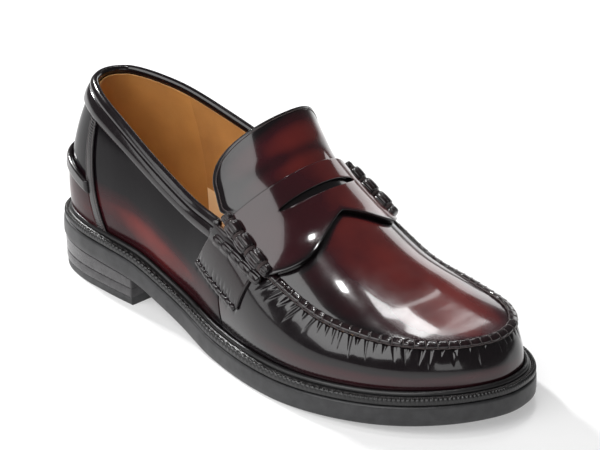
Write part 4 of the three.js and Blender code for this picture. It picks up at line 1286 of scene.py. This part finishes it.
def build_lower_row(side, name):
    """The folded edge of the side panel under the roll, drawn in by the same wraps."""
    us = np.linspace(0, 1, 181)

    def path(u):
        t = 6.86 + 1.06 * np.asarray(u)
        return wall(t if side < 0 else LOOP - t, np.full(t.shape, 0.885), np.full(t.shape, 2.5))

    def outward(u):
        t = 6.86 + 1.06 * np.asarray(u)
        return outward_of_wall(t if side < 0 else LOOP - t, np.full(t.shape, 0.885))

    centre, _, across, up = frames_along(path, outward, us)
    lobe = np.abs(np.sin(np.pi * 5 * us)) ** 0.35
    ends = np.sqrt(np.clip(1 - (np.clip(np.abs(us - 0.5) * 2 - 0.92, 0, 1) / 0.08) ** 2, 0.08, 1))
    size = (0.7 + 0.3 * lobe) * ends

    def section(angle):
        folds = 1 - 0.2 * np.exp(-((np.mod(angle, np.pi / 2) - np.pi / 4) / 0.16) ** 2)
        return np.tile(folds, (len(us), 1))

    # Painted shade: the row is darker between its lobes.
    row = tube_mesh(f"roll_lower_row_{name}", centre, across, up, 3.1 * size, 1.9 * size, 40, shape=section,
                    dye_and_shade=np.repeat(1 - 0.3 * lobe, 40))
    finish(row, DARK, "dark_leather")


def build_roll(side, name):
    lift = ROLL_RADIUS - 0.3
    stops = np.array([0.0, 0.13, 0.38, 0.62, 0.85, 1.0])
    us = np.linspace(0, 1, 261)
    which = np.clip(np.searchsorted(stops, us, side="right") - 1, 0, len(stops) - 2)
    within = (us - stops[which]) / (stops[which + 1] - stops[which])
    lobe = np.abs(np.sin(np.pi * within)) ** 0.38
    girth = np.array([0.74, 0.98, 1.03, 0.98, 0.66])[which]
    joined = smoothstep(np.minimum(within, 1 - within) * 6)
    girth = girth * joined + 0.66 * (1 - joined)
    size = ROLL_RADIUS * 1.16 * girth * (0.72 + 0.28 * lobe)

    def path(u):
        return roll_path(side, u, lift)

    def outward(u):
        return np.tile([0.28, 0.72 * side, 0.64], (len(u), 1))

    centre, ahead, across, up = frames_along(path, outward, us)
    sides = 72

    def section(angle):
        ribs = 1 - 0.13 * np.exp(-((np.mod(angle + 0.35, 2 * np.pi / 8) - np.pi / 8) / 0.09) ** 2)
        return ribs[None, :] * np.ones((len(us), 1))

    angle = np.linspace(0, 2 * np.pi, sides, endpoint=False)
    # Painted shade: darker in the creases between the facets and between the lobes.
    crease = np.exp(-((np.mod(angle + 0.35, 2 * np.pi / 8) - np.pi / 8) / 0.1) ** 2)
    dye = 0.5 + 0.5 * np.maximum(crease[None, :], (1 - lobe)[:, None])
    roll = tube_mesh(f"beef_roll_{name}_leather", centre, across, up, size, size, sides,
                     shape=section, dye_and_shade=dye)
    finish(roll, DARK, "dark_leather", f"beef_roll_{name}")

    build_lower_row(side, name)
    arc = np.linspace(-0.5, math.pi + 0.5, 25)
    centre, ahead, across, up = frames_along(path, outward, stops[1:-1])
    curves = []
    for k in range(len(centre)):
        reach = ROLL_RADIUS * 0.72 + (0.12 if k < 3 else -0.3)
        for strand in (-0.42, 0.42):
            curve = []
            for a in arc:
                away = across[k] * math.cos(a) + up[k] * math.sin(a)
                curve.append((centre[k] + away * reach + ahead[k] * strand, away, ahead[k]))
            curves.append(curve)
    wraps = strands(f"roll_wraps_{name}", curves, 0.42, 8)
    finish(wraps, THREAD, "thread", *[f"roll_binding_{name}_{k}" for k in (1, 2, 3)])


# ---- hidden CAD pieces that stay -----------------------------------------------------------------
def dress_hidden():
    looks = {
        "cork_filler": CORK, "shank": STEEL, "insole_board": BOARD, "heel_pad": TAN,
        "heel_counter": STIFF, "toe_puff": STIFF, "apron_lining": LINING,
    }
    for number in range(1, 6):
        looks[f"heel_nail_{number}"] = STEEL
    for name, material in looks.items():
        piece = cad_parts[name]
        piece.data.materials.clear()
        piece.data.materials.append(material)


# ---- stage ---------------------------------------------------------------------------------------
SHOE = (0.03, 0.0, 0.06)
# Name, place and aim in metres, size in metres, power in watts, roll in degrees.
LIGHTS = (
    ("grey_panel", (0.083, -0.954, 0.86), SHOE, (1.3, 1.05), 15, 20),
    ("left_panel", (-0.75, -0.95, 0.5), SHOE, (0.35, 0.9), 2.0, 0),
    ("sun_key", (-1.7, 0.2, 1.36), SHOE, (0.2, 0.2), 44, 0),
    ("hot_spot", (0.015, 0.07, 1.36), SHOE, (0.11, 0.11), 2.6, 0),
    ("streak_strip", (-0.15, 0.50, 1.22), SHOE, (0.07, 0.36), 1.5, 0),
    ("thin_strip", (-0.20, 0.80, 1.05), SHOE, (0.025, 0.6), 0.3, 0),
    ("rim_panel", (-0.35, 1.3, 0.36), SHOE, (0.9, 0.42), 2.6, 0),
    ("front_fill", (1.4, -0.6, 0.25), (0.05, 0.0, 0.04), (0.6, 0.3), 1.0, 0),
)


def area_light(name, at, aim, size, power, roll):
    data = bpy.data.lights.new(name, "AREA")
    data.shape = "RECTANGLE"
    data.size, data.size_y = size
    data.energy = power
    lamp = bpy.data.objects.new(name, data)
    bpy.context.scene.collection.objects.link(lamp)
    lamp.location = at
    direction = np.array(aim, float) - np.array(at, float)
    towards = Vector(direction.tolist()).to_track_quat("-Z", "Y")
    lamp.rotation_euler = (towards @ Quaternion((0, 0, 1), math.radians(roll))).to_euler()


def build_stage():
    mesh = bpy.data.meshes.new("floor")
    reach = 5
    turns = np.linspace(0, 2 * math.pi, 64, endpoint=False)
    ring = [(reach * math.cos(a), reach * math.sin(a), 0) for a in turns]
    mesh.from_pydata(ring, [], [list(range(len(ring)))])
    floor = bpy.data.objects.new("floor", mesh)
    bpy.context.scene.collection.objects.link(floor)
    material, shader = new_material("glowing_paper_floor")
    shade = ramp(material, noise(material, 3, 2), [(0.0, (0.59, 0.59, 0.59)), (1.0, (0.63, 0.63, 0.63))])
    link(material, shade, shader.inputs["Base Color"])
    shader.inputs["Roughness"].default_value = 0.9
    # Painted light: the floor glows, brightest in a pool round the shoe and fading outwards.
    shader.inputs["Emission Color"].default_value = (1, 1, 1, 1)
    place = node(material, "ShaderNodeTexCoord")
    mapping = node(material, "ShaderNodeMapping")
    mapping.inputs["Location"].default_value = (0.0, -0.3, 0.0)
    pool = node(material, "ShaderNodeTexGradient", gradient_type="SPHERICAL")
    link(material, place.outputs["Object"], mapping.inputs["Vector"])
    link(material, mapping.outputs["Vector"], pool.inputs["Vector"])
    glow = ramp(material, pool.outputs["Fac"], [(0.3, (0.05,) * 3), (0.62, (0.36,) * 3)])
    link(material, glow, shader.inputs["Emission Strength"])
    mesh.materials.append(material)
    world = bpy.data.worlds.new("studio")
    bpy.context.scene.world = world
    world.use_nodes = True
    back = world.node_tree.nodes["Background"]
    back.inputs["Color"].default_value = (0.9, 0.9, 0.9, 1)
    back.inputs["Strength"].default_value = 0.12
    bpy.context.scene.view_settings.view_transform = "Standard"
    for name, at, aim, size, power, roll in LIGHTS:
        area_light(name, at, aim, size, power, roll)


def build_camera():
    azimuth, elevation, roll = math.radians(43.2), math.radians(24.2), math.radians(0.66)
    distance, sensor, focal_share = 0.8767, 36.0, 1751.7 / 600
    aimed_at = [167.8, -0.8, 64.6]
    data = bpy.data.cameras.new("camera")
    data.sensor_width = sensor
    data.lens = focal_share * sensor
    data.clip_start = 0.01
    data.clip_end = 30
    camera = bpy.data.objects.new("camera", data)
    bpy.context.scene.collection.objects.link(camera)
    target = to_frame(aimed_at)
    level = math.cos(elevation)
    back = np.array([math.sin(azimuth) * level, -math.cos(azimuth) * level, math.sin(elevation)])
    right = np.array([math.cos(azimuth), math.sin(azimuth), 0.0])
    up = np.cross(back, right)
    right, up = (math.cos(roll) * right + math.sin(roll) * up,
                 math.cos(roll) * up - math.sin(roll) * right)
    turn = Matrix([[right[k], up[k], back[k]] for k in range(3)]).to_4x4()
    turn.translation = (target + back * distance).tolist()
    camera.matrix_world = turn
    bpy.context.scene.camera = camera


build_camera()
build_stage()
build_sole()
build_heel()
build_insole()
build_walls()
build_seam()
build_apron()
build_saddle()
build_tongue()
for side_sign, side_name in SIDES:
    build_side(side_sign, side_name)
    build_roll(side_sign, side_name)
dress_hidden()
